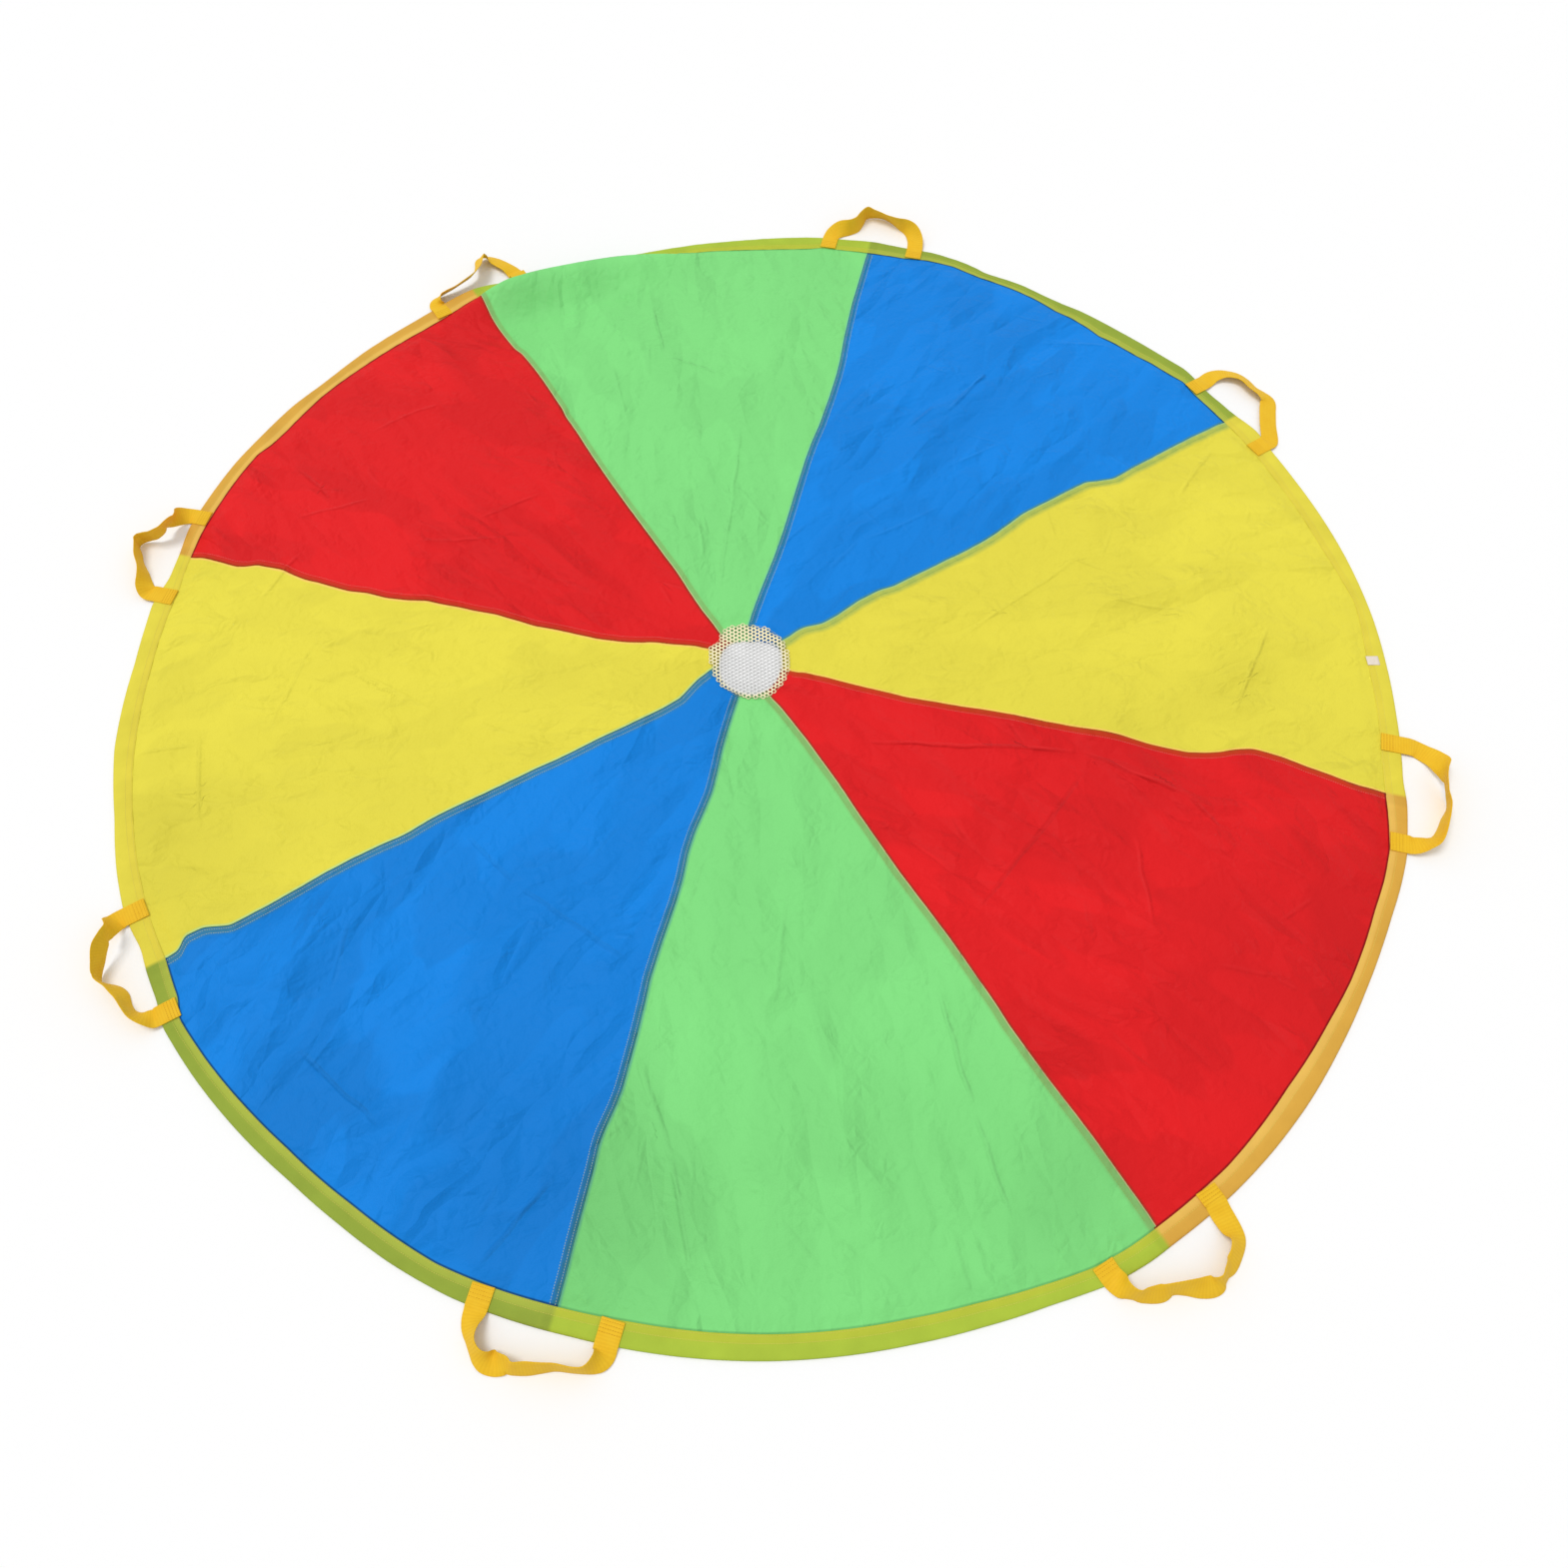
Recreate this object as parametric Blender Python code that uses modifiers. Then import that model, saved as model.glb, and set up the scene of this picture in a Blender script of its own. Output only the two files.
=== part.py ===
"""Play parachute: eight cloth gores, a mesh centre, a taped hem and eight webbing handles.

Metres, +Z up. The origin is the middle of the outline with its handles, on the surface that the cloth lies on.
The canopy's own middle lies a little beside it, because the free loops reach out unequally far. From there the
first seam runs towards +X, and the gores and handles follow counterclockwise. The gores are felled into each
other: each one's seam allowance lies under its neighbour.
"""
import math

import bmesh
import bpy
from mathutils import Vector

# Place of the canopy's middle
MIDDLE_X = -0.0144
MIDDLE_Y = 0.0013

# Canopy
CANOPY_RADIUS = 0.900
CLOTH_THICKNESS = 0.0010
SEAM_ALLOWANCE = 0.012
LAP_EASE = 0.012
TIP_LAP_SHARE = 0.2
GORE_COLOURS = ("blue", "green", "red", "yellow", "blue", "green", "red", "yellow")
GORE_COUNT = len(GORE_COLOURS)
CLOSING_SEAM = 4
GORE_ROWS = 17
EVEN_ROWS_SHARE = 0.25
GORE_COLUMNS = 7

# Hem tape, folded in a U round the gores' outer edge
HEM_WIDTH = 0.028
TAPE_THICKNESS = 0.0008
HEM_TUCK = 0.0015
HEM_FACETS = 72

# Mesh centre
MESH_RADIUS = 0.062
MESH_LAP = 0.009
MESH_THICKNESS = 0.0008
MESH_PITCH = 0.0092
MESH_STRAND = 0.0030
MESH_RIM = 0.0080
MESH_FACETS = 40

# Webbing handles
WEBBING_WIDTH = 0.027
WEBBING_THICKNESS = 0.0014
HANDLE_SPAN = 0.150
HANDLE_REACH = 0.060
SEWN_END = 0.025
SEWN_END_ROUND = 0.0003
HINGE_RISE = 0.0005
LOOP_DROP = 0.0125
LOOP_STEPS = 3

# Clearance of touching pieces, and of the folds from the hem and from the mesh
SEAT_GAP = 0.0003
HEM_GAP = 0.0010

# Corners closer than this are one corner
WELD_DISTANCE = 0.00001

# Levels of the stacked layers at the hem and round the mesh
CLOTH_BOTTOM = TAPE_THICKNESS + SEAT_GAP
CLOTH_TOP = CLOTH_BOTTOM + CLOTH_THICKNESS
HEM_TOP = CLOTH_TOP + SEAT_GAP + TAPE_THICKNESS
SEWN_BOTTOM = HEM_TOP + SEAT_GAP
SEWN_TOP = SEWN_BOTTOM + WEBBING_THICKNESS
HINGE_LEVEL = SEWN_TOP + HINGE_RISE
HEM_INNER_RADIUS = CANOPY_RADIUS - HEM_WIDTH
FOLD_OUTER_RADIUS = HEM_INNER_RADIUS - HEM_GAP
FOLD_INNER_RADIUS = MESH_RADIUS + HEM_GAP

# Folds of the lying cloth, as ridges between two places. Each row: radius share and angle in degrees of the
# start, the same of the end, half width as a share of FOLD_WIDTH, height as a share of FOLD_HEIGHT. Angles are
# from the first seam.
FOLD_WIDTH = 0.030
FOLD_HEIGHT = 0.010
FOLD_SHARES = (
    (0.955, 71, 0.955, 88, 1.00, 1.90),
    (0.955, 77, 0.955, 88, 1.00, 1.20),
    (0.300, 319, 0.560, 316, 0.90, 0.80),
    (0.560, 316, 0.800, 302, 0.90, 0.80),
    (0.420, 311, 0.560, 279, 0.80, 0.60),
    (0.640, 321, 0.850, 331, 0.90, 0.90),
    (0.640, 355, 0.760, 357, 0.90, 0.90),
    (0.350, 264, 0.800, 262, 0.90, 0.80),
    (0.400, 231, 0.820, 233, 0.90, 0.80),
    (0.280, 184, 0.600, 191, 0.90, 0.80),
    (0.620, 201, 0.900, 209, 0.90, 0.70),
    (0.550, 149, 0.880, 147, 0.90, 0.60),
    (0.780, 172, 0.930, 177, 0.90, 1.00),
    (0.500, 135, 0.800, 134, 0.90, 0.90),
    (0.450, 109, 0.850, 107, 1.00, 0.60),
    (0.120, 69, 0.450, 72, 0.90, 0.70),
    (0.450, 53, 0.800, 57, 1.00, 0.60),
    (0.500, 24, 0.850, 27, 1.00, 0.60),
)
FOLD_FADE = 0.010

# How far each seam wanders from its straight line. Rows of radius share and sideways share of SEAM_SWAY.
SEAM_SWAY = 0.020
SEAM_SHARES = (
    ((0.06, 0.35), (0.62, 0.45), (0.70, -0.40), (1.00, -0.20)),
    ((0.06, 0.80), (0.35, 0.15), (0.75, -0.10), (1.00, 0.00)),
    ((0.06, 0.40), (0.37, 0.60), (0.60, 0.25), (1.00, 0.60)),
    ((0.06, -0.50), (0.42, 0.10), (0.68, 0.65), (0.84, 0.00), (0.90, 0.45), (1.00, 0.55)),
    ((0.06, -0.80), (0.80, -0.20), (0.91, -1.00), (0.97, -0.25), (1.00, -0.25)),
    ((0.06, -0.40), (0.30, -0.80), (0.40, -0.60), (0.55, -0.80), (0.75, -0.45), (1.00, -0.45)),
    ((0.06, -0.15), (1.00, -0.15)),
    ((0.06, 0.00), (0.60, -0.10), (0.78, 1.00), (0.90, 0.10), (1.00, -0.20)),
)

# Handles, one across each seam. HANDLE_SHIFT_SHARES moves each one along the hem, as a share of HANDLE_SPAN.
# The rows of LOOP_SHARES run from the end at the smaller angle to the other: place along the hem as a share
# of half the span, reach as a share of HANDLE_REACH, lean of the strap in degrees (0 flat, 90 on edge with its
# outer edge up), and lift of its lower edge as a share of WEBBING_WIDTH.
HANDLE_SHIFT_SHARES = (-0.013, -0.013, 0.053, 0.133, -0.053, -0.120, -0.053, -0.027)
LOOP_SHARES = (
    ((-0.99, 0.14, 0, 0.0), (-0.90, 0.27, -4, 0.0), (-0.63, 0.52, -8, 0.0), (-0.34, 0.84, -8, 0.0),
     (-0.12, 1.08, -12, 0.0), (0.08, 1.08, -26, 0.0), (0.30, 1.02, -31, 0.0), (0.56, 1.03, -30, 0.0),
     (0.76, 0.97, -25, 0.0), (0.91, 0.82, -22, 0.0), (1.01, 0.64, -15, 0.0), (1.05, 0.42, -9, 0.0),
     (1.02, 0.18, -2, 0.0)),
    ((-0.99, 0.22, 8, 0.0), (-0.95, 0.46, 22, 0.0), (-0.84, 0.66, 50, 0.0), (-0.68, 0.78, 78, 0.0),
     (-0.47, 0.87, 103, 0.0), (-0.26, 1.02, 118, 0.0), (-0.06, 1.14, 121, 0.0), (0.14, 1.15, 112, 0.0),
     (0.31, 1.12, 92, 0.0), (0.39, 0.86, 76, 0.0), (0.46, 0.58, 72, 0.0), (0.62, 0.40, 70, 0.0),
     (0.82, 0.33, 46, 0.0), (0.96, 0.22, 16, 0.0)),
    ((-0.99, 0.18, -4, 0.0), (-0.94, 0.42, -16, 0.0), (-0.86, 0.66, -18, 0.0), (-0.76, 0.90, -22, 0.0),
     (-0.62, 1.04, -32, 0.1), (-0.47, 1.00, -42, 0.25), (-0.37, 0.78, -48, 0.35), (-0.24, 0.54, -50, 0.4),
     (-0.05, 0.40, -50, 0.35), (0.20, 0.33, -48, 0.3), (0.45, 0.30, -46, 0.2), (0.67, 0.31, -48, 0.1),
     (0.84, 0.31, -46, 0.0), (0.96, 0.24, -26, 0.0), (1.00, 0.13, -6, 0.0)),
    ((-0.98, 0.18, 12, 0.0), (-0.89, 0.29, 46, 0.0), (-0.75, 0.33, 92, 0.1), (-0.60, 0.33, 120, 0.4),
     (-0.46, 0.34, 116, 0.6), (-0.33, 0.42, 108, 0.45), (-0.23, 0.60, 104, 0.25), (-0.19, 0.80, 102, 0.1),
     (-0.14, 0.96, 98, 0.0), (-0.04, 1.00, 95, 0.0), (0.05, 0.93, 92, 0.0), (0.16, 0.84, 86, 0.0),
     (0.34, 0.71, 82, 0.0), (0.57, 0.46, 74, 0.0), (0.76, 0.32, 60, 0.0), (0.91, 0.24, 36, 0.0),
     (0.99, 0.14, 10, 0.0)),
    ((-0.98, 0.14, 14, 0.0), (-0.90, 0.22, 50, 0.1), (-0.80, 0.25, 82, 0.3), (-0.70, 0.28, 94, 0.5),
     (-0.60, 0.36, 84, 0.65), (-0.48, 0.50, 74, 0.6), (-0.31, 0.66, 82, 0.3), (-0.17, 0.79, 90, 0.05),
     (-0.07, 0.83, 90, 0.0), (0.02, 0.77, 82, 0.0), (0.14, 0.65, 72, 0.0), (0.25, 0.57, 63, 0.0),
     (0.36, 0.52, 62, 0.0), (0.46, 0.50, 68, 0.0), (0.57, 0.49, 74, 0.0), (0.71, 0.46, 74, 0.0),
     (0.84, 0.39, 62, 0.0), (0.94, 0.27, 42, 0.0), (1.00, 0.13, 12, 0.0)),
    ((-0.99, 0.28, -28, 0.0), (-0.92, 0.53, -57, 0.0), (-0.81, 0.70, -58, 0.0), (-0.67, 0.80, -40, 0.0),
     (-0.50, 0.80, -12, 0.0), (-0.32, 0.76, -48, 0.0), (-0.20, 0.79, -62, 0.0), (0.00, 0.72, -60, 0.0),
     (0.20, 0.64, -68, 0.0), (0.40, 0.56, -74, 0.0), (0.65, 0.52, -78, 0.0), (0.82, 0.46, -74, 0.0),
     (0.94, 0.32, -50, 0.0), (1.00, 0.16, -18, 0.0)),
    ((-0.98, 0.18, -20, 0.0), (-0.96, 0.35, -58, 0.0), (-0.88, 0.50, -72, 0.0), (-0.76, 0.59, -58, 0.0),
     (-0.54, 0.71, -48, 0.0), (-0.36, 0.76, -65, 0.0), (-0.16, 0.88, -57, 0.0), (0.04, 1.02, -38, 0.0),
     (0.20, 1.10, -36, 0.0), (0.34, 1.10, -62, 0.0), (0.46, 1.03, -60, 0.0), (0.60, 0.97, -45, 0.0),
     (0.76, 0.87, -45, 0.0), (0.90, 0.72, -36, 0.0), (0.95, 0.50, -12, 0.0), (0.98, 0.24, -2, 0.0)),
    ((-0.99, 0.15, 14, 0.0), (-0.95, 0.30, 32, 0.0), (-0.89, 0.44, 52, 0.0), (-0.77, 0.54, 74, 0.0),
     (-0.58, 0.62, 84, 0.0), (-0.35, 0.69, 90, 0.0), (-0.10, 0.76, 104, 0.0), (0.10, 0.70, 112, 0.15),
     (0.30, 0.63, 108, 0.35), (0.50, 0.61, 85, 0.25), (0.68, 0.59, 48, 0.15), (0.83, 0.51, 20, 0.05),
     (0.93, 0.35, 5, 0.0), (0.99, 0.18, 0, 0.0)),
)
COLOURS = {
    "blue": (0.012, 0.220, 0.745),
    "green": (0.230, 0.725, 0.220),
    "red": (0.740, 0.014, 0.016),
    "yellow": (0.780, 0.690, 0.070),
    "tape": (0.620, 0.600, 0.050),
    "mesh": (0.780, 0.780, 0.760),
    "webbing": (0.790, 0.440, 0.015),
}


def new_collection(name):
    collection = bpy.data.collections.new(name)
    bpy.context.scene.collection.children.link(collection)
    return collection


def cloth_material(name, colour, roughness):
    material = bpy.data.materials.new(name)
    material.use_nodes = True
    shader = material.node_tree.nodes["Principled BSDF"]
    shader.inputs["Base Color"].default_value = (*COLOURS[colour], 1.0)
    shader.inputs["Roughness"].default_value = roughness
    shader.inputs["Metallic"].default_value = 0.0
    return material


def smooth(value):
    value = min(max(value, 0.0), 1.0)
    return value * value * (3.0 - 2.0 * value)


def eased_table(rows, at):
    """Value of a table of (place, value) rows, eased between its rows."""
    if at <= rows[0][0]:
        return rows[0][1]
    for (place, value), (next_place, next_value) in zip(rows, rows[1:]):
        if at <= next_place:
            return value + (next_value - value) * smooth((at - place) / (next_place - place))
    return rows[-1][1]


def polar(radius, angle):
    return Vector((radius * math.cos(angle), radius * math.sin(angle)))


def distance_to_segment(point, start, end):
    run = end - start
    along = min(max((point - start).dot(run) / run.length_squared, 0.0), 1.0)
    return (point - start - run * along).length


def fold_height(point):
    """Rise of the cloth over its flat lie, zero at the hem and at the mesh."""
    radius = point.length
    fade = smooth((FOLD_OUTER_RADIUS - radius) / FOLD_FADE) * smooth((radius - FOLD_INNER_RADIUS) / FOLD_FADE)
    rise = 0.0
    for start_share, start_deg, end_share, end_deg, width_share, height_share in FOLD_SHARES:
        start = polar(start_share * CANOPY_RADIUS, math.radians(start_deg))
        end = polar(end_share * CANOPY_RADIUS, math.radians(end_deg))
        reach = distance_to_segment(point, start, end) / (width_share * FOLD_WIDTH)
        rise += height_share * FOLD_HEIGHT * math.exp(-reach * reach)
    return rise * fade


def seam_angle(seam, radius):
    """Angle of a seam at a radius. Seam 8 is seam 0 after a full turn."""
    straight = seam * math.tau / GORE_COUNT
    sway = SEAM_SWAY * eased_table(SEAM_SHARES[seam % GORE_COUNT], radius / CANOPY_RADIUS)
    return straight + sway / radius


def gore_radii():
    """Radii of a gore's rows: its tip under the mesh, the felled stretch, its edge in the hem tape."""
    felled_start = FOLD_INNER_RADIUS + LAP_EASE
    felled_end = FOLD_OUTER_RADIUS - LAP_EASE
    middle = 0.5 * (felled_start + felled_end)
    reach = 0.5 * (felled_end - felled_start)
    felled = []
    for row in range(GORE_ROWS):
        turn = math.pi * row / (GORE_ROWS - 1)
        evenly = 2.0 * row / (GORE_ROWS - 1) - 1.0
        bunched = -math.cos(turn)
        felled.append(middle + reach * (bunched + (evenly - bunched) * EVEN_ROWS_SHARE))
    edge = CANOPY_RADIUS - TAPE_THICKNESS - SEAT_GAP - HEM_TUCK
    return [MESH_RADIUS - MESH_LAP, FOLD_INNER_RADIUS] + felled + [FOLD_OUTER_RADIUS, edge]


def allowance_side(seam):
    """-1 where a seam's allowance lies under the gore before it, +1 at the closing seam."""
    return 1 if seam % GORE_COUNT == CLOSING_SEAM else -1


def lap_angles(radius):
    """Angles that an allowance and the ease beside it take at a radius, less near a gore's tip."""
    widest = TIP_LAP_SHARE * math.tau / GORE_COUNT
    return min(SEAM_ALLOWANCE / radius, widest), min(LAP_EASE / radius, widest)


def gore_columns(gore, radius):
    """Angles across a gore at a radius, each with its lap share: 1 where it lies over an allowance."""
    start = seam_angle(gore, radius) + 0.5 * SEAT_GAP / radius
    end = seam_angle(gore + 1, radius) - 0.5 * SEAT_GAP / radius
    lap, ease = lap_angles(radius)
    before, after = [], []
    if allowance_side(gore) > 0:
        before = [(start, 1.0), (start + lap, 1.0)]
        start += lap + ease
    if allowance_side(gore + 1) < 0:
        after = [(end - lap, 1.0), (end, 1.0)]
        end -= lap + ease
    inner = [(start + (end - start) * i / GORE_COLUMNS, 0.0) for i in range(GORE_COLUMNS + 1)]
    return before + inner + after


def add_strip(bm, lower, upper):
    """Triangles between two rows of corners, all cut along the same diagonal."""
    for i in range(len(lower) - 1):
        bm.faces.new((lower[i], upper[i], upper[i + 1]))
        bm.faces.new((lower[i], upper[i + 1], lower[i + 1]))


def gore_sheet(gore):
    """A gore's underside with its allowance, as one open sheet."""
    radii = gore_radii()
    lap_rise = CLOTH_THICKNESS + SEAT_GAP
    felled_rows = range(2, len(radii) - 2)
    bm = bmesh.new()
    rows = []
    for row, radius in enumerate(radii):
        lapped = lap_rise if row in felled_rows else 0.0
        corners = []
        for angle, lap_share in gore_columns(gore, radius):
            place = polar(radius, angle)
            height = CLOTH_BOTTOM + fold_height(place) + lapped * lap_share
            corners.append(bm.verts.new((place.x, place.y, height)))
        rows.append(corners)
    for lower, upper in zip(rows, rows[1:]):
        add_strip(bm, lower, upper)
    for seam, side, corner in ((gore, -1, 0), (gore + 1, 1, -1)):
        if allowance_side(seam) != side:
            continue
        edge = []
        for row in felled_rows:
            radius = radii[row]
            angle = seam_angle(seam, radius) + side * (lap_angles(radius)[0] + 0.5 * SEAT_GAP / radius)
            place = polar(radius, angle)
            edge.append((bm.verts.new((place.x, place.y, CLOTH_BOTTOM + fold_height(place))), rows[row][corner]))
        for (outer, inner), (next_outer, next_inner) in zip(edge, edge[1:]):
            pair = (outer, inner) if side < 0 else (inner, outer)
            next_pair = (next_outer, next_inner) if side < 0 else (next_inner, next_outer)
            add_strip(bm, pair, next_pair)
    return bm


def mesh_object(name, bm, collection, material):
    bmesh.ops.recalc_face_normals(bm, faces=bm.faces)
    mesh = bpy.data.meshes.new(name)
    bm.to_mesh(mesh)
    bm.free()
    mesh.materials.append(material)
    thing = bpy.data.objects.new(name, mesh)
    collection.objects.link(thing)
    return thing


def thicken_up(bm, thickness):
    """Closes a sheet into a solid that rises by its thickness."""
    top = bmesh.ops.extrude_face_region(bm, geom=bm.faces[:])
    corners = [item for item in top["geom"] if isinstance(item, bmesh.types.BMVert)]
    bmesh.ops.translate(bm, verts=corners, vec=(0.0, 0.0, thickness))


def build_gores(collection):
    for gore, colour in enumerate(GORE_COLOURS):
        name = f"gore_{gore + 1}_{colour}"
        sheet = gore_sheet(gore)
        thicken_up(sheet, CLOTH_THICKNESS)
        mesh_object(name, sheet, collection, cloth_material(name, colour, 0.55))


def build_hem_binding(collection):
    """Tape folded in a U, turned round the canopy from its section."""
    upper_bottom = HEM_TOP - TAPE_THICKNESS
    fold_inner = CANOPY_RADIUS - TAPE_THICKNESS
    section = (
        (HEM_INNER_RADIUS, HEM_TOP),
        (fold_inner, HEM_TOP),
        (CANOPY_RADIUS, upper_bottom),
        (CANOPY_RADIUS, TAPE_THICKNESS),
        (fold_inner, 0.0),
        (HEM_INNER_RADIUS, 0.0),
        (HEM_INNER_RADIUS, TAPE_THICKNESS),
        (fold_inner, TAPE_THICKNESS),
        (fold_inner, upper_bottom),
        (HEM_INNER_RADIUS, upper_bottom),
    )
    mesh = bpy.data.meshes.new("hem_binding")
    edges = [(i, (i + 1) % len(section)) for i in range(len(section))]
    mesh.from_pydata([(radius, 0.0, level) for radius, level in section], edges, [])
    mesh.materials.append(cloth_material("hem_binding", "tape", 0.6))
    binding = bpy.data.objects.new("hem_binding", mesh)
    collection.objects.link(binding)
    turn = binding.modifiers.new("turn", "SCREW")
    turn.angle = math.tau
    turn.steps = HEM_FACETS
    turn.render_steps = HEM_FACETS
    turn.use_merge_vertices = True
    turn.merge_threshold = WELD_DISTANCE


def build_mesh_centre(collection):
    """Flat net: square gaps inside a plain rim that is sewn down on the gores' tips."""
    net_radius = MESH_RADIUS - MESH_RIM
    half_count = math.ceil(net_radius / MESH_PITCH)
    bm = bmesh.new()
    corners = {}
    for row in range(-half_count, half_count + 1):
        for column in range(-half_count, half_count + 1):
            corners[column, row] = bm.verts.new((column * MESH_PITCH, row * MESH_PITCH, 0.0))
    for (column, row), corner in corners.items():
        cell = [(column, row), (column + 1, row), (column + 1, row + 1), (column, row + 1)]
        if all(key in corners and corners[key].co.length < net_radius for key in cell):
            bm.faces.new([corners[key] for key in cell])
    bmesh.ops.delete(bm, geom=[v for v in bm.verts if not v.link_faces], context="VERTS")
    inset = bmesh.ops.inset_individual(bm, faces=bm.faces[:], thickness=0.5 * MESH_STRAND, use_even_offset=True)
    strands = set(inset["faces"])
    bmesh.ops.delete(bm, geom=[face for face in bm.faces if face not in strands], context="FACES_ONLY")
    bmesh.ops.remove_doubles(bm, verts=bm.verts, dist=WELD_DISTANCE)
    centre_edges = [e for e in bm.edges if e.is_boundary and all(outer_corner(v) for v in e.verts)]
    rim = bmesh.ops.create_circle(bm, segments=MESH_FACETS, radius=MESH_RADIUS)
    rim_corners = set(rim["verts"])
    rim_edges = [e for e in bm.edges if all(v in rim_corners for v in e.verts)]
    bmesh.ops.triangle_fill(bm, use_beauty=True, edges=centre_edges + rim_edges)
    return bm


def outer_corner(corner):
    """True for the net's outermost corners, which lie on the cells' grid."""
    steps = (corner.co.x / MESH_PITCH, corner.co.y / MESH_PITCH)
    return all(abs(step - round(step)) < 0.01 for step in steps)


def hinge_reach():
    """Distance of the handles' fold lines from the middle, just clear of the hem."""
    return math.sqrt(CANOPY_RADIUS ** 2 - (0.5 * HANDLE_SPAN - 0.5 * WEBBING_WIDTH) ** 2) + SEAT_GAP


def handle_frame(handle):
    """Middle of a handle's fold line, with the directions along the hem and outwards."""
    angle = handle * math.tau / GORE_COUNT + HANDLE_SHIFT_SHARES[handle] * HANDLE_SPAN / CANOPY_RADIUS
    out = Vector((math.cos(angle), math.sin(angle), 0.0))
    along = Vector((-out.y, out.x, 0.0))
    return out * hinge_reach(), along, out


def spline_value(before, start, end, after, t):
    """Catmull-Rom value between start and end."""
    return 0.5 * (2.0 * start + (end - before) * t + (2.0 * before - 5.0 * start + 4.0 * end - after) * t * t
                  + (3.0 * start - before - 3.0 * end + after) * t ** 3)


def loop_path(handle):
    """Places and leans along a handle's free loop, from one sewn end to the other."""
    middle, along, out = handle_frame(handle)
    half_span = 0.5 * HANDLE_SPAN
    straight = WEBBING_THICKNESS / HANDLE_REACH
    start_share = SEAT_GAP / HANDLE_REACH
    rows = [(-1.0, start_share, 0.0, 0.0), (-1.0, start_share + straight, 0.0, 0.0)]
    rows += LOOP_SHARES[handle]
    rows += [(1.0, start_share + straight, 0.0, 0.0), (1.0, start_share, 0.0, 0.0)]
    samples = [rows[0]]
    for i in range(1, len(rows) - 2):
        neighbours = [rows[i - 1], rows[i], rows[i + 1], rows[min(i + 2, len(rows) - 1)]]
        for step in range(LOOP_STEPS):
            samples.append([spline_value(*values, step / LOOP_STEPS) for values in zip(*neighbours)])
    samples += rows[-2:]
    path = []
    for along_share, reach_share, lean_deg, lift_share in samples:
        lean = math.radians(lean_deg)
        stand = 0.5 * WEBBING_WIDTH * abs(math.sin(lean)) + 0.5 * WEBBING_THICKNESS * abs(math.cos(lean))
        level = SEAT_GAP + stand + max(lift_share, 0.0) * WEBBING_WIDTH
        sewn_level = 0.5 * (SEWN_BOTTOM + SEWN_TOP)
        level += max(sewn_level - level, 0.0) * (1.0 - smooth(reach_share * HANDLE_REACH / LOOP_DROP))
        place = middle + along * along_share * half_span + out * reach_share * HANDLE_REACH
        path.append((Vector((place.x, place.y, level)), lean))
    return path


def strap_rings(path):
    """Corners round each station of a strap: its inner edge first, then its outer one, over and back under."""
    rings = []
    for i, (place, lean) in enumerate(path):
        run = (path[min(i + 1, len(path) - 1)][0] - path[max(i - 1, 0)][0]).normalized()
        side = run.cross(Vector((0.0, 0.0, 1.0))).normalized()
        wide = side * math.cos(lean) + side.cross(run) * math.sin(lean)
        across = wide * 0.5 * WEBBING_WIDTH
        over = run.cross(wide) * 0.5 * WEBBING_THICKNESS
        rings.append([place - across - over, place + across - over, place + across + over, place - across + over])
    return rings


def strap_mesh(path):
    """Flat strap swept along a path, closed at both ends."""
    bm = bmesh.new()
    rings = [[bm.verts.new(corner) for corner in ring] for ring in strap_rings(path)]
    for ring, next_ring in zip(rings, rings[1:]):
        add_strip(bm, ring + ring[:1], next_ring + next_ring[:1])
    bm.faces.new(rings[0])
    bm.faces.new(rings[-1])
    return bm


def build_sewn_end(handle, side, collection, material):
    """Flat end of a handle's webbing, sewn down on the hem."""
    middle, along, out = handle_frame(handle)
    place = middle + along * side * 0.5 * HANDLE_SPAN - out * 0.5 * SEWN_END
    bm = bmesh.new()
    bmesh.ops.create_cube(bm, size=1.0)
    bmesh.ops.scale(bm, verts=bm.verts, vec=(SEWN_END, WEBBING_WIDTH, WEBBING_THICKNESS))
    letter = "a" if side < 0 else "b"
    end = mesh_object(f"handle_{handle + 1}_end_{letter}", bm, collection, material)
    end.location = (place.x, place.y, 0.5 * (SEWN_BOTTOM + SEWN_TOP))
    end.rotation_euler = (0.0, 0.0, math.atan2(out.y, out.x))
    edge = end.modifiers.new("soft_edge", "BEVEL")
    edge.width = SEWN_END_ROUND
    edge.segments = 1


def build_handles(collection):
    for handle in range(GORE_COUNT):
        name = f"handle_{handle + 1}_loop"
        material = cloth_material(f"handle_{handle + 1}_webbing", "webbing", 0.7)
        for side in (-1, 1):
            build_sewn_end(handle, side, collection, material)
        middle, along, out = handle_frame(handle)
        hinge = bpy.data.objects.new(f"handle_{handle + 1}_hinge", None)
        hinge.location = (middle.x, middle.y, HINGE_LEVEL)
        collection.objects.link(hinge)
        path = [(place - hinge.location, lean) for place, lean in loop_path(handle)]
        loop = mesh_object(name, strap_mesh(path), collection, material)
        loop.parent = hinge


def build_mesh(collection):
    net = build_mesh_centre(collection)
    bmesh.ops.translate(net, verts=net.verts, vec=(0.0, 0.0, CLOTH_TOP + SEAT_GAP))
    thicken_up(net, MESH_THICKNESS)
    mesh_object("mesh_centre", net, collection, cloth_material("mesh_centre", "mesh", 0.5))


def main():
    for thing in list(bpy.data.objects):
        bpy.data.objects.remove(thing)
    collection = new_collection("play_parachute")
    build_gores(collection)
    build_hem_binding(collection)
    build_mesh(collection)
    build_handles(collection)
    middle = bpy.data.objects.new("canopy_middle", None)
    middle.location = (MIDDLE_X, MIDDLE_Y, 0.0)
    for thing in collection.objects:
        if thing.parent is None:
            thing.parent = middle
    collection.objects.link(middle)


main()
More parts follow.
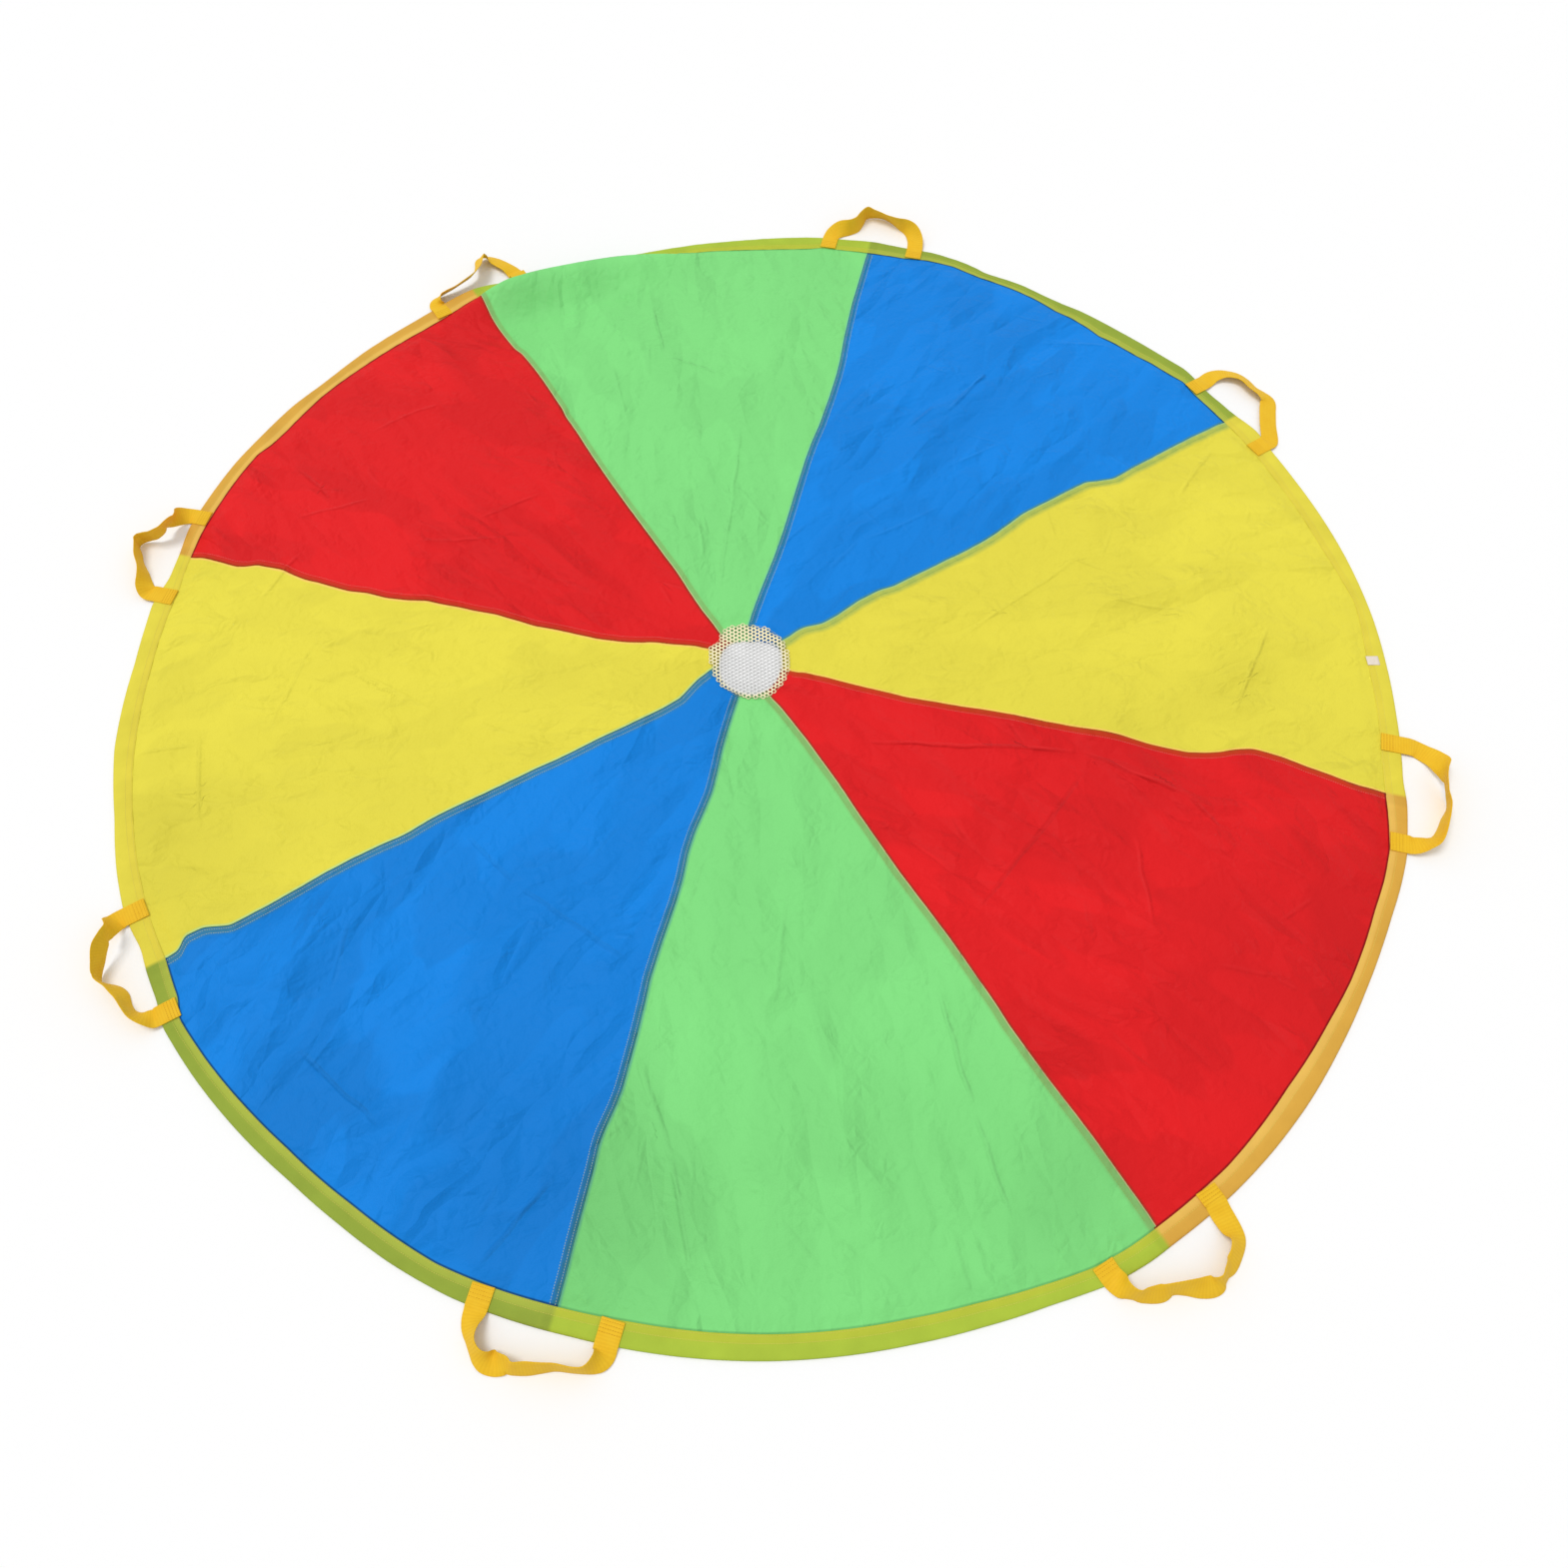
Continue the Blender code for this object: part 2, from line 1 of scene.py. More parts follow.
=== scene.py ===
"""Play parachute: the looks of the laid-out canopy, its hem, net centre and webbing handles."""

import math

import bpy
import numpy as np
from mathutils import Matrix, Vector


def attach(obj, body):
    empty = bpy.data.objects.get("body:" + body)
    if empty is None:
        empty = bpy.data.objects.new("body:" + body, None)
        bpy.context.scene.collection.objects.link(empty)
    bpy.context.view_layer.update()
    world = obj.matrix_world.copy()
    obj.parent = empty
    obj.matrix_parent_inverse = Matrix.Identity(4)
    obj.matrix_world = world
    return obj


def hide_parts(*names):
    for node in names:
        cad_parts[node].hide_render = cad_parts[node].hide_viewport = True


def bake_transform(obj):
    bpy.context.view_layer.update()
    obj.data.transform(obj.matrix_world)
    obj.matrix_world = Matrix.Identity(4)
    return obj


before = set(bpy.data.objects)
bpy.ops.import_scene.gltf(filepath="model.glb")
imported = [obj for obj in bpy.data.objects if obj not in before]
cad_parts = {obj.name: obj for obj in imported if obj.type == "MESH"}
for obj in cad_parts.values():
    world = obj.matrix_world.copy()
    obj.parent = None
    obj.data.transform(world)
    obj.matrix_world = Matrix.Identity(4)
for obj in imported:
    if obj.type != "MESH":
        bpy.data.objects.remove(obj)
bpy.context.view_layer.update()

MM = 0.001

# Where the canopy's middle lies; all its places below are measured from there
MIDDLE = (-0.0144, 0.0013, 0.0)

# Canopy. The seams are numbered from +X, counterclockwise, and gore 0 lies between seam 0 and seam 1.
CANOPY_RADIUS = 0.900
GORE_COUNT = 8
GORE_NAMES = (
    "gore_1_blue", "gore_2_green", "gore_3_red", "gore_4_yellow",
    "gore_5_blue", "gore_6_green", "gore_7_red", "gore_8_yellow",
)
CLOTH_COLOURS = {"blue": "#0D84E2", "green": "#83E082", "red": "#E21B1F", "yellow": "#E9DD49"}
# For each colour: how strong the painted shade beside the hem is, how strong the painted shade and highlight
# along creases are, how much the facets of creased cloth differ in painted light and shade, and how high they
# stand as a share of the full height
CLOTH_LOOKS = {
    "blue": (0.85, 0.14, 0.075, 1.3), "green": (0.35, 0.06, 0.035, 0.9),
    "red": (0.75, 0.14, 0.075, 1.4), "yellow": (0.0, 0.07, 0.035, 0.9),
}
CLOSING_SEAM = 4
GORE_COLUMNS = 176
GORE_ROWS = 236
CLOTH_LEVEL = 1.3 * MM
CLOTH_THICKNESS = 0.35 * MM
LAP_WIDTH = 9.5 * MM
LAP_RISE = 0.5 * MM
LAP_OUTER_END = 0.885
LAP_INNER_END = 42 * MM
TUCK_UNDER = 8 * MM
PUCKER_HEIGHT = 0.35 * MM
PUCKER_REACH = 9 * MM

# Path of each seam: radius and sideways place, counterclockwise positive, in millimetres
SEAM_PATHS = (
    ((66, 10), (93, 11), (120, 3), (143, 3), (190, 9), (224, 9), (243, 4), (380, 2), (428, 4), (490, 14),
     (535, 13), (580, 13), (610, 12), (650, -6), (690, -4), (805, -2), (843, -4), (900, -5)),
    ((63, 19), (113, 16), (151, 13), (190, 10), (228, 8), (305, 7), (382, 6), (420, 4), (459, 0), (520, -3),
     (574, -4), (613, -3), (651, 0), (690, 2), (747, 4), (900, 3)),
    ((63, 12), (113, 14), (151, 13), (190, 11), (228, 12), (305, 13), (382, 14), (459, 13), (520, 10),
     (556, 10), (574, 7), (650, 5), (690, 6), (722, 8), (738, 13), (780, 15), (820, 16), (850, 14),
     (900, 13)),
    ((66, -11), (90, -9), (113, -5), (143, -2), (167, 4), (190, 8), (228, 11), (290, 10), (320, 11), (382, 5),
     (459, 8), (490, 7), (520, 13), (551, 16), (582, 14), (613, 17), (659, 14), (682, 13), (705, 9), (728, 4),
     (767, 4), (782, 11), (797, 14), (820, 12), (843, 11), (874, 13), (900, 13)),
    ((56, -20), (74, -15), (90, -10), (105, -4), (120, 2), (151, 3), (190, 2), (267, 1), (305, -1),
     (343, -4), (420, -6), (459, -8), (497, -8), (536, -5), (574, -8), (613, -9), (651, -9), (690, -6),
     (736, -4), (767, -4), (782, -4), (813, -19), (838, -19), (849, -5), (900, -5)),
    ((74, -5), (113, -6), (151, -6), (182, -4), (220, -3), (251, -6), (282, -10), (313, -11), (351, -8),
     (382, -8), (443, -11), (490, -12), (520, -10), (559, -8), (628, -7), (651, -9), (682, -14), (697, -15),
     (728, -13), (767, -12), (805, -11), (843, -9), (900, -8)),
    ((74, -6), (90, -4), (113, -3), (151, -1), (190, -1), (228, -1), (305, -4), (382, -5), (443, -3),
     (490, -2), (536, -3), (582, -4), (613, -6), (690, -6), (767, -3), (900, -4)),
    ((74, 0), (113, -1), (151, -3), (190, -4), (228, -6), (305, -4), (336, -2), (420, -2), (490, 0),
     (520, -1), (559, -3), (613, -3), (636, 2), (655, 8), (674, 17), (697, 23), (736, 19), (767, 12),
     (805, 5), (820, 1), (843, -2), (900, -4)),
)
# Each seam's whole path moved sideways, counterclockwise positive
SEAM_SHIFTS = (-4.3 * MM, -1.0 * MM, 2.4 * MM, 5.9 * MM, 2.5 * MM, 2.1 * MM, -1.9 * MM, -4.8 * MM)
SEAM_SMOOTHING = 5 * MM
SEAM_START = 60 * MM

# Painted shade, where the light falls off over the cloth: radius share, angle in degrees, reach in metres and
# tone lost
SHADES = (
    (0.86, 222, 0.26, 0.17), (0.93, 200, 0.22, 0.08), (0.90, 295, 0.26, 0.13), (0.62, 305, 0.22, 0.07),
    (0.92, 170, 0.22, 0.09), (0.80, 262, 0.26, 0.05), (0.88, 240, 0.20, 0.05), (0.90, 266, 0.12, 0.12),
    (0.76, 326, 0.10, 0.06),
)
# Painted shadow of the net: the share of their colour that the gores' tips lose under it
NET_SHADE = 0.50

# Outer and inner edge of the hem: angle in degrees and radius in millimetres
HEM_OUTER = (
    (0, 900), (3.5, 899), (5.5, 904), (7, 908), (10, 903), (15, 899), (20, 898), (23, 894), (25, 895),
    (27, 898), (29, 898), (31.5, 895), (33, 902), (35, 907), (38, 910), (42, 907), (45, 909), (48, 905),
    (51, 904), (55, 898), (60, 890), (65, 886), (68, 883), (71, 881), (75, 879), (80, 878), (84, 880),
    (88, 886), (91, 897), (94, 902), (97, 903), (100, 902), (105, 901), (110, 898), (112, 899),
    (115, 903), (120, 903), (124, 905), (130, 903), (133, 902), (136, 893), (139, 889), (142, 897),
    (145, 894), (149, 892), (155, 896), (158, 898), (160, 897), (165, 895), (170, 899), (174, 900),
    (176, 897), (178, 892), (180, 895), (183, 897), (185, 904), (187, 903), (190, 902), (194, 900),
    (198, 898), (202, 896), (207, 898), (212, 902), (217, 904), (222, 902), (226, 900), (240, 900),
    (250, 899), (255, 900), (260, 903), (262, 906), (265, 911), (268, 911), (270, 909), (276, 907),
    (280, 905), (285, 902), (290, 898), (296, 895), (300, 895), (303, 896), (306, 899), (309, 901),
    (311, 899), (314, 897), (316, 892), (323, 892), (328, 894), (333, 897), (340, 899), (350, 900),
    (354, 902), (357, 908), (358.5, 904), (360, 900),
)
HEM_INNER = (
    (0, 878), (3.5, 880), (5, 883), (6, 887), (7.5, 882), (10, 879), (12, 874), (15, 872), (16.5, 869),
    (18, 873), (20.5, 876), (22.5, 875), (25, 881), (28, 884), (32, 884), (34, 888), (35.3, 892),
    (38.5, 890), (41, 883), (44, 881), (48, 879), (50.5, 880), (52, 874), (54, 871), (57, 868), (60, 867),
    (64, 868), (70, 862), (75, 856), (85, 860), (89, 872), (91.3, 876), (95, 876), (105, 877), (112, 880),
    (118, 876), (120.5, 878), (122, 885), (125, 885), (130, 882), (133, 880), (136, 875), (140, 868),
    (150, 867), (160, 871), (170, 872), (176, 871), (180, 869), (183.7, 874), (185.3, 883), (190, 880),
    (195, 876), (200, 873), (207, 874), (211, 877), (215, 880), (220, 878), (225, 875), (230, 873),
    (240, 874), (250, 874), (255, 876), (260, 882), (264, 888), (267, 888), (270, 886), (274, 884),
    (277, 883), (281, 879), (285, 875), (292, 874), (296, 876), (303, 876), (306, 879), (309, 880),
    (312, 875), (315, 869), (318, 866), (323, 868), (327, 869), (330, 872), (333, 878), (335, 881),
    (338, 877), (342, 873), (350, 874), (357, 878), (360, 878),
)
# The tape reaches further in on the side away from the camera
FAR_SIDE = math.radians(58.6)
HEM_FAR_SHIFT = 2.2 * MM
# Where the edge is lifted off the floor: angle in degrees and height in millimetres
EDGE_LIFT = ((0, 0), (77, 0), (82, 3), (86, 8), (89, 13), (91.5, 13), (94, 6), (97, 0), (360, 0))
EDGE_LIFT_REACH = 70 * MM
# The slack cloth that stands up beside the hem: angle in degrees, then height and radius of its crest in
# millimetres
BULGE_CREST = (
    (60, 0, 850), (64, 2, 850), (67, 9, 852), (70, 17, 852), (73, 24, 852), (76, 28, 852), (80, 31, 852),
    (84, 32, 854), (87, 30, 856), (90, 18, 858), (93, 4, 858), (96, 0, 858),
)
BULGE_INNER_REACH = 75 * MM
BULGE_OUTER_REACH = 17 * MM

# Soft folds: radius share and angle in degrees of both ends, width and height in millimetres
SOFT_FOLDS = (
    (0.300, 319, 0.560, 316, 27, 8.0), (0.560, 316, 0.800, 302, 27, 8.0), (0.420, 311, 0.560, 279, 24, 6.0),
    (0.640, 321, 0.850, 331, 27, 9.0), (0.640, 355, 0.760, 357, 27, 9.0), (0.350, 264, 0.800, 262, 27, 8.0),
    (0.400, 231, 0.820, 233, 27, 8.0), (0.280, 184, 0.600, 191, 27, 8.0), (0.620, 201, 0.900, 209, 27, 7.0),
    (0.550, 149, 0.880, 147, 27, 6.0), (0.780, 172, 0.930, 177, 27, 8.0), (0.500, 135, 0.800, 134, 27, 7.0),
    (0.450, 109, 0.850, 107, 30, 6.0), (0.120, 69, 0.450, 72, 27, 6.0), (0.450, 53, 0.800, 57, 30, 6.0),
    (0.500, 24, 0.850, 27, 30, 6.0),
)
SOFT_FOLD_SHARE = 0.55
# How far from the hem and from the net the cloth takes to settle flat
HEM_SETTLE = 22 * MM
NET_SETTLE = 14 * MM
# Crumples of the lying cloth: height, size of their hills, and the seed of the draw
SWELL = (1.3 * MM, 150 * MM, 3)
CRUMPLES = ((1.1 * MM, 70 * MM, 11), (0.5 * MM, 26 * MM, 23))
# The cloth near its outer edge stands a little higher, gathered by the hem's stitches
GATHER_HEIGHT = 0.10 * MM
GATHER_LEVEL = 5.5
GATHER_SIZE = 16 * MM
GATHER_START = 0.80
GATHER_REACH = 60 * MM
# Sharp creases from folding and packing, in the same terms
CREASES = (
    (0.893, 122, 0.801, 124, 5, 2.6), (0.829, 128, 0.735, 122, 8, 1.8), (0.819, 140, 0.788, 133, 6, 1.6),
    (0.548, 117, 0.495, 106, 6, 1.5), (0.620, 126, 0.480, 118, 6, 1.2), (0.840, 113, 0.790, 104, 7, 1.4),
    (0.825, 72, 0.688, 72, 7, 2.2), (0.688, 72, 0.628, 64, 7, 1.8), (0.150, 79, 0.333, 64, 6, 1.6),
    (0.333, 64, 0.492, 61, 6, 1.6), (0.217, 80, 0.301, 76, 5, 1.2), (0.560, 82, 0.720, 80, 6, 1.0),
    (0.630, 25, 0.753, 24, 4, 2.8), (0.564, 29, 0.629, 27, 5, 1.8), (0.520, 18, 0.640, 14, 6, 1.0),
    (0.880, 21, 0.950, 15, 6, 1.4), (0.300, 20, 0.450, 12, 7, 1.0), (0.749, 321, 0.825, 333, 6, 2.4),
    (0.798, 353, 0.911, 357, 6, 1.8), (0.316, 333, 0.579, 349, 8, 1.4), (0.560, 342, 0.720, 335, 7, 1.2),
    (0.229, 288, 0.527, 310, 9, 2.6), (0.527, 310, 0.689, 308, 7, 3.0), (0.689, 308, 0.743, 305, 6, 2.2),
    (0.544, 308, 0.533, 275, 7, 2.0), (0.720, 290, 0.640, 300, 7, 1.4), (0.601, 264, 0.761, 261, 6, 2.4),
    (0.761, 261, 0.898, 260, 6, 2.0), (0.662, 226, 0.772, 231, 6, 2.0), (0.772, 231, 0.909, 234, 6, 2.2),
    (0.400, 246, 0.560, 242, 7, 1.2), (0.521, 185, 0.514, 197, 6, 1.6), (0.514, 197, 0.533, 220, 6, 1.8),
    (0.880, 194, 0.877, 205, 6, 2.4), (0.826, 221, 0.964, 218, 6, 2.2), (0.720, 186, 0.800, 192, 6, 1.4),
    (0.868, 158, 0.873, 168, 5, 1.8), (0.960, 159, 0.872, 159, 5, 1.8), (0.700, 145, 0.760, 158, 7, 1.2),
    (0.500, 160, 0.640, 150, 7, 1.0),
)

SMALL_CREASE_COUNT = 130
SMALL_CREASE_LENGTHS = (18 * MM, 85 * MM)
CREASE_RISE = 1.5 * MM
# Further than this from its line, a crease raises nothing
CREASE_LIMIT = 60 * MM

# Net centre, with the gores' inner ends under it: angle in degrees and radius in millimetres
NET_EDGE = (
    (0, 59), (35, 61), (59, 63), (82, 66), (98, 67), (110, 61), (117, 58), (124, 63), (130, 67),
    (144, 62), (165, 60), (198, 63), (221, 66), (238, 69), (250, 69), (266, 68), (289, 63), (316, 59),
    (339, 57), (360, 59),
)
GORE_TIPS = (
    (0, 46), (20, 40), (40, 34), (60, 31), (85, 35), (102, 39), (119, 42), (148, 45), (174, 50),
    (200, 56), (242, 59), (265, 56), (296, 48), (330, 44), (360, 46),
)
NET_RADIUS = 62 * MM
NET_REACH = 68 * MM
# The real knit's holes are about 2.6 mm apart; they are drawn at 6 mm so that they show
NET_PITCH = 6.0 * MM
NET_STRAND = 1.7 * MM
NET_RIM_STRAND = 2.2 * MM
NET_THICKNESS = 0.5 * MM
NET_LEVEL = 3.0 * MM

# Handles: the free loop's stations from the end at the smaller angle. Place along the hem as a share of half
# the span, reach as a share of the handle's reach, lean in degrees, lift as a share of the webbing's width.
WEBBING_WIDTH = 27 * MM
WEBBING_THICKNESS = 1.3 * MM
HANDLE_SPAN = 150 * MM
HANDLE_REACH = 60 * MM
STRAP_STEP = 1.8 * MM
STRAP_CLEARANCE = 0.4 * MM
SEWN_LEVEL = 3.9 * MM
LOOP_DROP = 15 * MM
HANDLE_SHIFTS = (-0.013, -0.013, 0.053, 0.133, -0.053, -0.120, -0.053, -0.027)
LOOP_STATIONS = (
    ((-0.99, 0.14, 0, 0.0), (-0.90, 0.27, -4, 0.0), (-0.63, 0.52, -8, 0.0), (-0.34, 0.84, -8, 0.0),
     (-0.12, 1.08, -12, 0.0), (0.08, 1.08, -26, 0.0), (0.30, 1.02, -31, 0.0), (0.56, 1.03, -30, 0.0),
     (0.76, 0.97, -25, 0.0), (0.91, 0.82, -22, 0.0), (1.01, 0.64, -15, 0.0), (1.05, 0.42, -9, 0.0),
     (1.02, 0.18, -2, 0.0)),
    ((-0.99, 0.22, 8, 0.0), (-0.95, 0.46, 22, 0.0), (-0.84, 0.66, 50, 0.0), (-0.68, 0.78, 78, 0.0),
     (-0.47, 0.87, 103, 0.0), (-0.26, 1.02, 118, 0.0), (-0.06, 1.14, 121, 0.0), (0.14, 1.15, 112, 0.0),
     (0.31, 1.12, 92, 0.0), (0.39, 0.86, 76, 0.0), (0.46, 0.58, 72, 0.0), (0.62, 0.40, 70, 0.0),
     (0.82, 0.33, 46, 0.0), (0.96, 0.22, 16, 0.0)),
    ((-0.99, 0.18, -4, 0.0), (-0.94, 0.42, -16, 0.0), (-0.86, 0.66, -18, 0.0), (-0.76, 0.90, -22, 0.0),
     (-0.62, 1.04, -32, 0.1), (-0.47, 1.00, -42, 0.25), (-0.37, 0.78, -48, 0.35), (-0.24, 0.54, -50, 0.4),
     (-0.05, 0.40, -50, 0.35), (0.20, 0.33, -48, 0.3), (0.45, 0.30, -46, 0.2), (0.67, 0.31, -48, 0.1),
     (0.84, 0.31, -46, 0.0), (0.96, 0.24, -26, 0.0), (1.00, 0.13, -6, 0.0)),
    ((-0.98, 0.18, 12, 0.0), (-0.89, 0.29, 46, 0.0), (-0.75, 0.33, 92, 0.1), (-0.60, 0.33, 120, 0.4),
     (-0.46, 0.34, 116, 0.6), (-0.33, 0.42, 108, 0.45), (-0.23, 0.60, 104, 0.25), (-0.19, 0.80, 102, 0.1),
     (-0.14, 0.96, 98, 0.0), (-0.04, 1.00, 95, 0.0), (0.05, 0.93, 92, 0.0), (0.16, 0.84, 86, 0.0),
     (0.34, 0.71, 82, 0.0), (0.57, 0.46, 74, 0.0), (0.76, 0.32, 60, 0.0), (0.91, 0.24, 36, 0.0),
     (0.99, 0.14, 10, 0.0)),
    ((-0.98, 0.14, 14, 0.0), (-0.90, 0.22, 50, 0.1), (-0.80, 0.25, 82, 0.3), (-0.70, 0.28, 94, 0.5),
     (-0.60, 0.36, 84, 0.65), (-0.48, 0.50, 74, 0.6), (-0.31, 0.66, 82, 0.3), (-0.17, 0.79, 90, 0.05),
     (-0.07, 0.83, 90, 0.0), (0.02, 0.77, 82, 0.0), (0.14, 0.65, 72, 0.0), (0.25, 0.57, 63, 0.0),
     (0.36, 0.52, 62, 0.0), (0.46, 0.50, 68, 0.0), (0.57, 0.49, 74, 0.0), (0.71, 0.46, 74, 0.0),
     (0.84, 0.39, 62, 0.0), (0.94, 0.27, 42, 0.0), (1.00, 0.13, 12, 0.0)),
    ((-0.99, 0.28, -28, 0.0), (-0.92, 0.53, -57, 0.0), (-0.81, 0.70, -58, 0.0), (-0.67, 0.80, -40, 0.0),
     (-0.50, 0.80, -12, 0.0), (-0.32, 0.76, -48, 0.0), (-0.20, 0.79, -62, 0.0), (0.00, 0.72, -60, 0.0),
     (0.20, 0.64, -68, 0.0), (0.40, 0.56, -74, 0.0), (0.65, 0.52, -78, 0.0), (0.82, 0.46, -74, 0.0),
     (0.94, 0.32, -50, 0.0), (1.00, 0.16, -18, 0.0)),
    ((-0.98, 0.18, -20, 0.0), (-0.96, 0.35, -58, 0.0), (-0.88, 0.50, -72, 0.0), (-0.76, 0.59, -58, 0.0),
     (-0.54, 0.71, -48, 0.0), (-0.36, 0.76, -65, 0.0), (-0.16, 0.88, -57, 0.0), (0.04, 1.02, -38, 0.0),
     (0.20, 1.10, -36, 0.0), (0.34, 1.10, -62, 0.0), (0.46, 1.03, -60, 0.0), (0.60, 0.97, -45, 0.0),
     (0.76, 0.87, -45, 0.0), (0.90, 0.72, -36, 0.0), (0.95, 0.50, -12, 0.0), (0.98, 0.24, -2, 0.0)),
    ((-0.99, 0.15, 14, 0.0), (-0.95, 0.30, 32, 0.0), (-0.89, 0.44, 52, 0.0), (-0.77, 0.54, 74, 0.0),
     (-0.58, 0.62, 84, 0.0), (-0.35, 0.69, 90, 0.0), (-0.10, 0.76, 104, 0.0), (0.10, 0.70, 112, 0.15),
     (0.30, 0.63, 108, 0.35), (0.50, 0.61, 85, 0.25), (0.68, 0.59, 48, 0.15), (0.83, 0.51, 20, 0.05),
     (0.93, 0.35, 5, 0.0), (0.99, 0.18, 0, 0.0)),
)

# Sewing. Some seams show one of their rows of stitches and some show two.
STITCH_PITCH = 3.0 * MM
STITCH_LENGTH = 2.5 * MM
STITCH_WIDTH = 0.6 * MM
SEAM_STITCH_ROWS = (
    (8.0 * MM,), (2.8 * MM, 9.5 * MM), (7.5 * MM,), (9.2 * MM,), (4.0 * MM, 10.0 * MM), (3.0 * MM, 9.2 * MM),
    (8.6 * MM,), (8.8 * MM,),
)
SEAM_THREADS = ("muted", "pale", "muted", "rosy", "pale", "pale", "muted", "rosy")
HEM_STITCH_INSET = 1.6 * MM
HEM_FOLD_INSET = 9.0 * MM
END_STITCH_ROWS = (3 * MM, 7 * MM, 11 * MM, 15 * MM)
# Pitch, length and width of the stitches across the handles' ends
END_STITCH = (2.6 * MM, 2.1 * MM, 0.5 * MM)

# Blank care label on the hem
LABEL_ANGLE = 328.4
LABEL_RADIUS = 876 * MM
LABEL_SIZE = (17 * MM, 15 * MM)
LABEL_THICKNESS = 0.3 * MM
LABEL_LEVEL = 3.0 * MM

# Camera, in the photo's own frame of 1569 by 1569 pixels
PHOTO_SIDE = 1569
FOCAL_PIXELS = 1172.6
SENSOR_WIDTH = 36.0
CAMERA_DISTANCE = 1.6876
CAMERA_ELEVATION = math.radians(56.57)
CAMERA_ROLL = math.radians(-2.77)
CAMERA_TURN = math.radians(-31.4)
CAMERA_AIM = Vector((-0.0411, -0.1989, 0.0))
CENTRE_COLUMN = 720.8

# Light and floor
SKY_STRENGTH = 0.66
SUN_STRENGTH = 1.15
SUN_SPREAD = math.radians(24)
SUN_SIDE = Vector((-0.28, 0.30, 1.0))
FLOOR_HALF = 6.0


# Where the canopy's middle lies on the lattice of random heights, in hills
DRIFT_START = (7.3, 3.1)


# Small helpers

def linear(hex_colour):
    """sRGB hex to linear colour."""
    parts = [int(hex_colour[i:i + 2], 16) / 255.0 for i in (1, 3, 5)]
    return tuple(p / 12.92 if p <= 0.04045 else ((p + 0.055) / 1.055) ** 2.4 for p in parts)


def eased(share):
    share = np.clip(share, 0.0, 1.0)
    return share * share * (3.0 - 2.0 * share)


def from_table(rows, at, column=1):
    """Value of a table at a place, straight between its rows."""
    places = [row[0] for row in rows]
    return np.interp(at, places, [row[column] for row in rows])


def softened(rows, at, reach):
    """As from_table, averaged over a reach so that no corner is left."""
    shifts = (-1.0, -0.5, 0.0, 0.5, 1.0)
    return sum(from_table(rows, at + reach * shift) for shift in shifts) / len(shifts)


def around(rows, angle, reach=0.6):
    """A table by angle in degrees, read at an angle in radians, closed at the full turn."""
    degrees = np.degrees(angle) % 360.0
    turned = [(at + turn, value) for turn in (-360.0, 0.0, 360.0) for at, value in rows]
    return softened(turned, degrees, reach)


def drift(x, y, size, seed):
    """Soft random height from -1 to 1, with hills of the given size."""
    side = 64
    lattice = np.random.default_rng(seed).uniform(-1.0, 1.0, (side, side))
    u, v = np.asarray(x) / size + DRIFT_START[0], np.asarray(y) / size + DRIFT_START[1]
    column, row = np.floor(u).astype(int), np.floor(v).astype(int)
    s, t = eased(u - column), eased(v - row)

    def edge(at):
        return lattice[row % side, at % side] * (1 - t) + lattice[(row + 1) % side, at % side] * t

    return edge(column) * (1 - s) + edge(column + 1) * s


def directions(angle):
    """Outwards, and counterclockwise along the hem, at an angle."""
    out = np.array((math.cos(angle), math.sin(angle), 0.0))
    return out, np.array((-out[1], out[0], 0.0))


def away_from_line(x, y, row):
    """Distance from a fold's line, the place along it from 0 to 1, and the side that a place lies on."""
    ends = [(row[i] * CANOPY_RADIUS * math.cos(math.radians(row[i + 1])),
             row[i] * CANOPY_RADIUS * math.sin(math.radians(row[i + 1]))) for i in (0, 2)]
    (x0, y0), (x1, y1) = ends
    run = (x1 - x0, y1 - y0)
    length = run[0] ** 2 + run[1] ** 2
    along = ((x - x0) * run[0] + (y - y0) * run[1]) / length
    held = np.clip(along, 0.0, 1.0)
    side = np.sign((y - y0) * run[0] - (x - x0) * run[1])
    return np.hypot(x - x0 - run[0] * held, y - y0 - run[1] * held), held, side


# The lie of the cloth

def seam_angle(seam, radius):
    sideways = softened([(r * MM, s * MM) for r, s in SEAM_PATHS[seam % GORE_COUNT]], radius, SEAM_SMOOTHING)
    sideways = sideways + SEAM_SHIFTS[seam % GORE_COUNT]
    return seam * math.tau / GORE_COUNT + sideways / np.maximum(radius, SEAM_START)


def hem_outer(angle):
    return around(HEM_OUTER, angle) * MM


def hem_inner(angle):
    far = eased(0.5 + 0.5 * np.cos(angle - FAR_SIDE))
    return around(HEM_INNER, angle, 0.3) * MM - HEM_FAR_SHIFT * far


def edge_lift(angle):
    return around(EDGE_LIFT, angle, 1.5) * MM


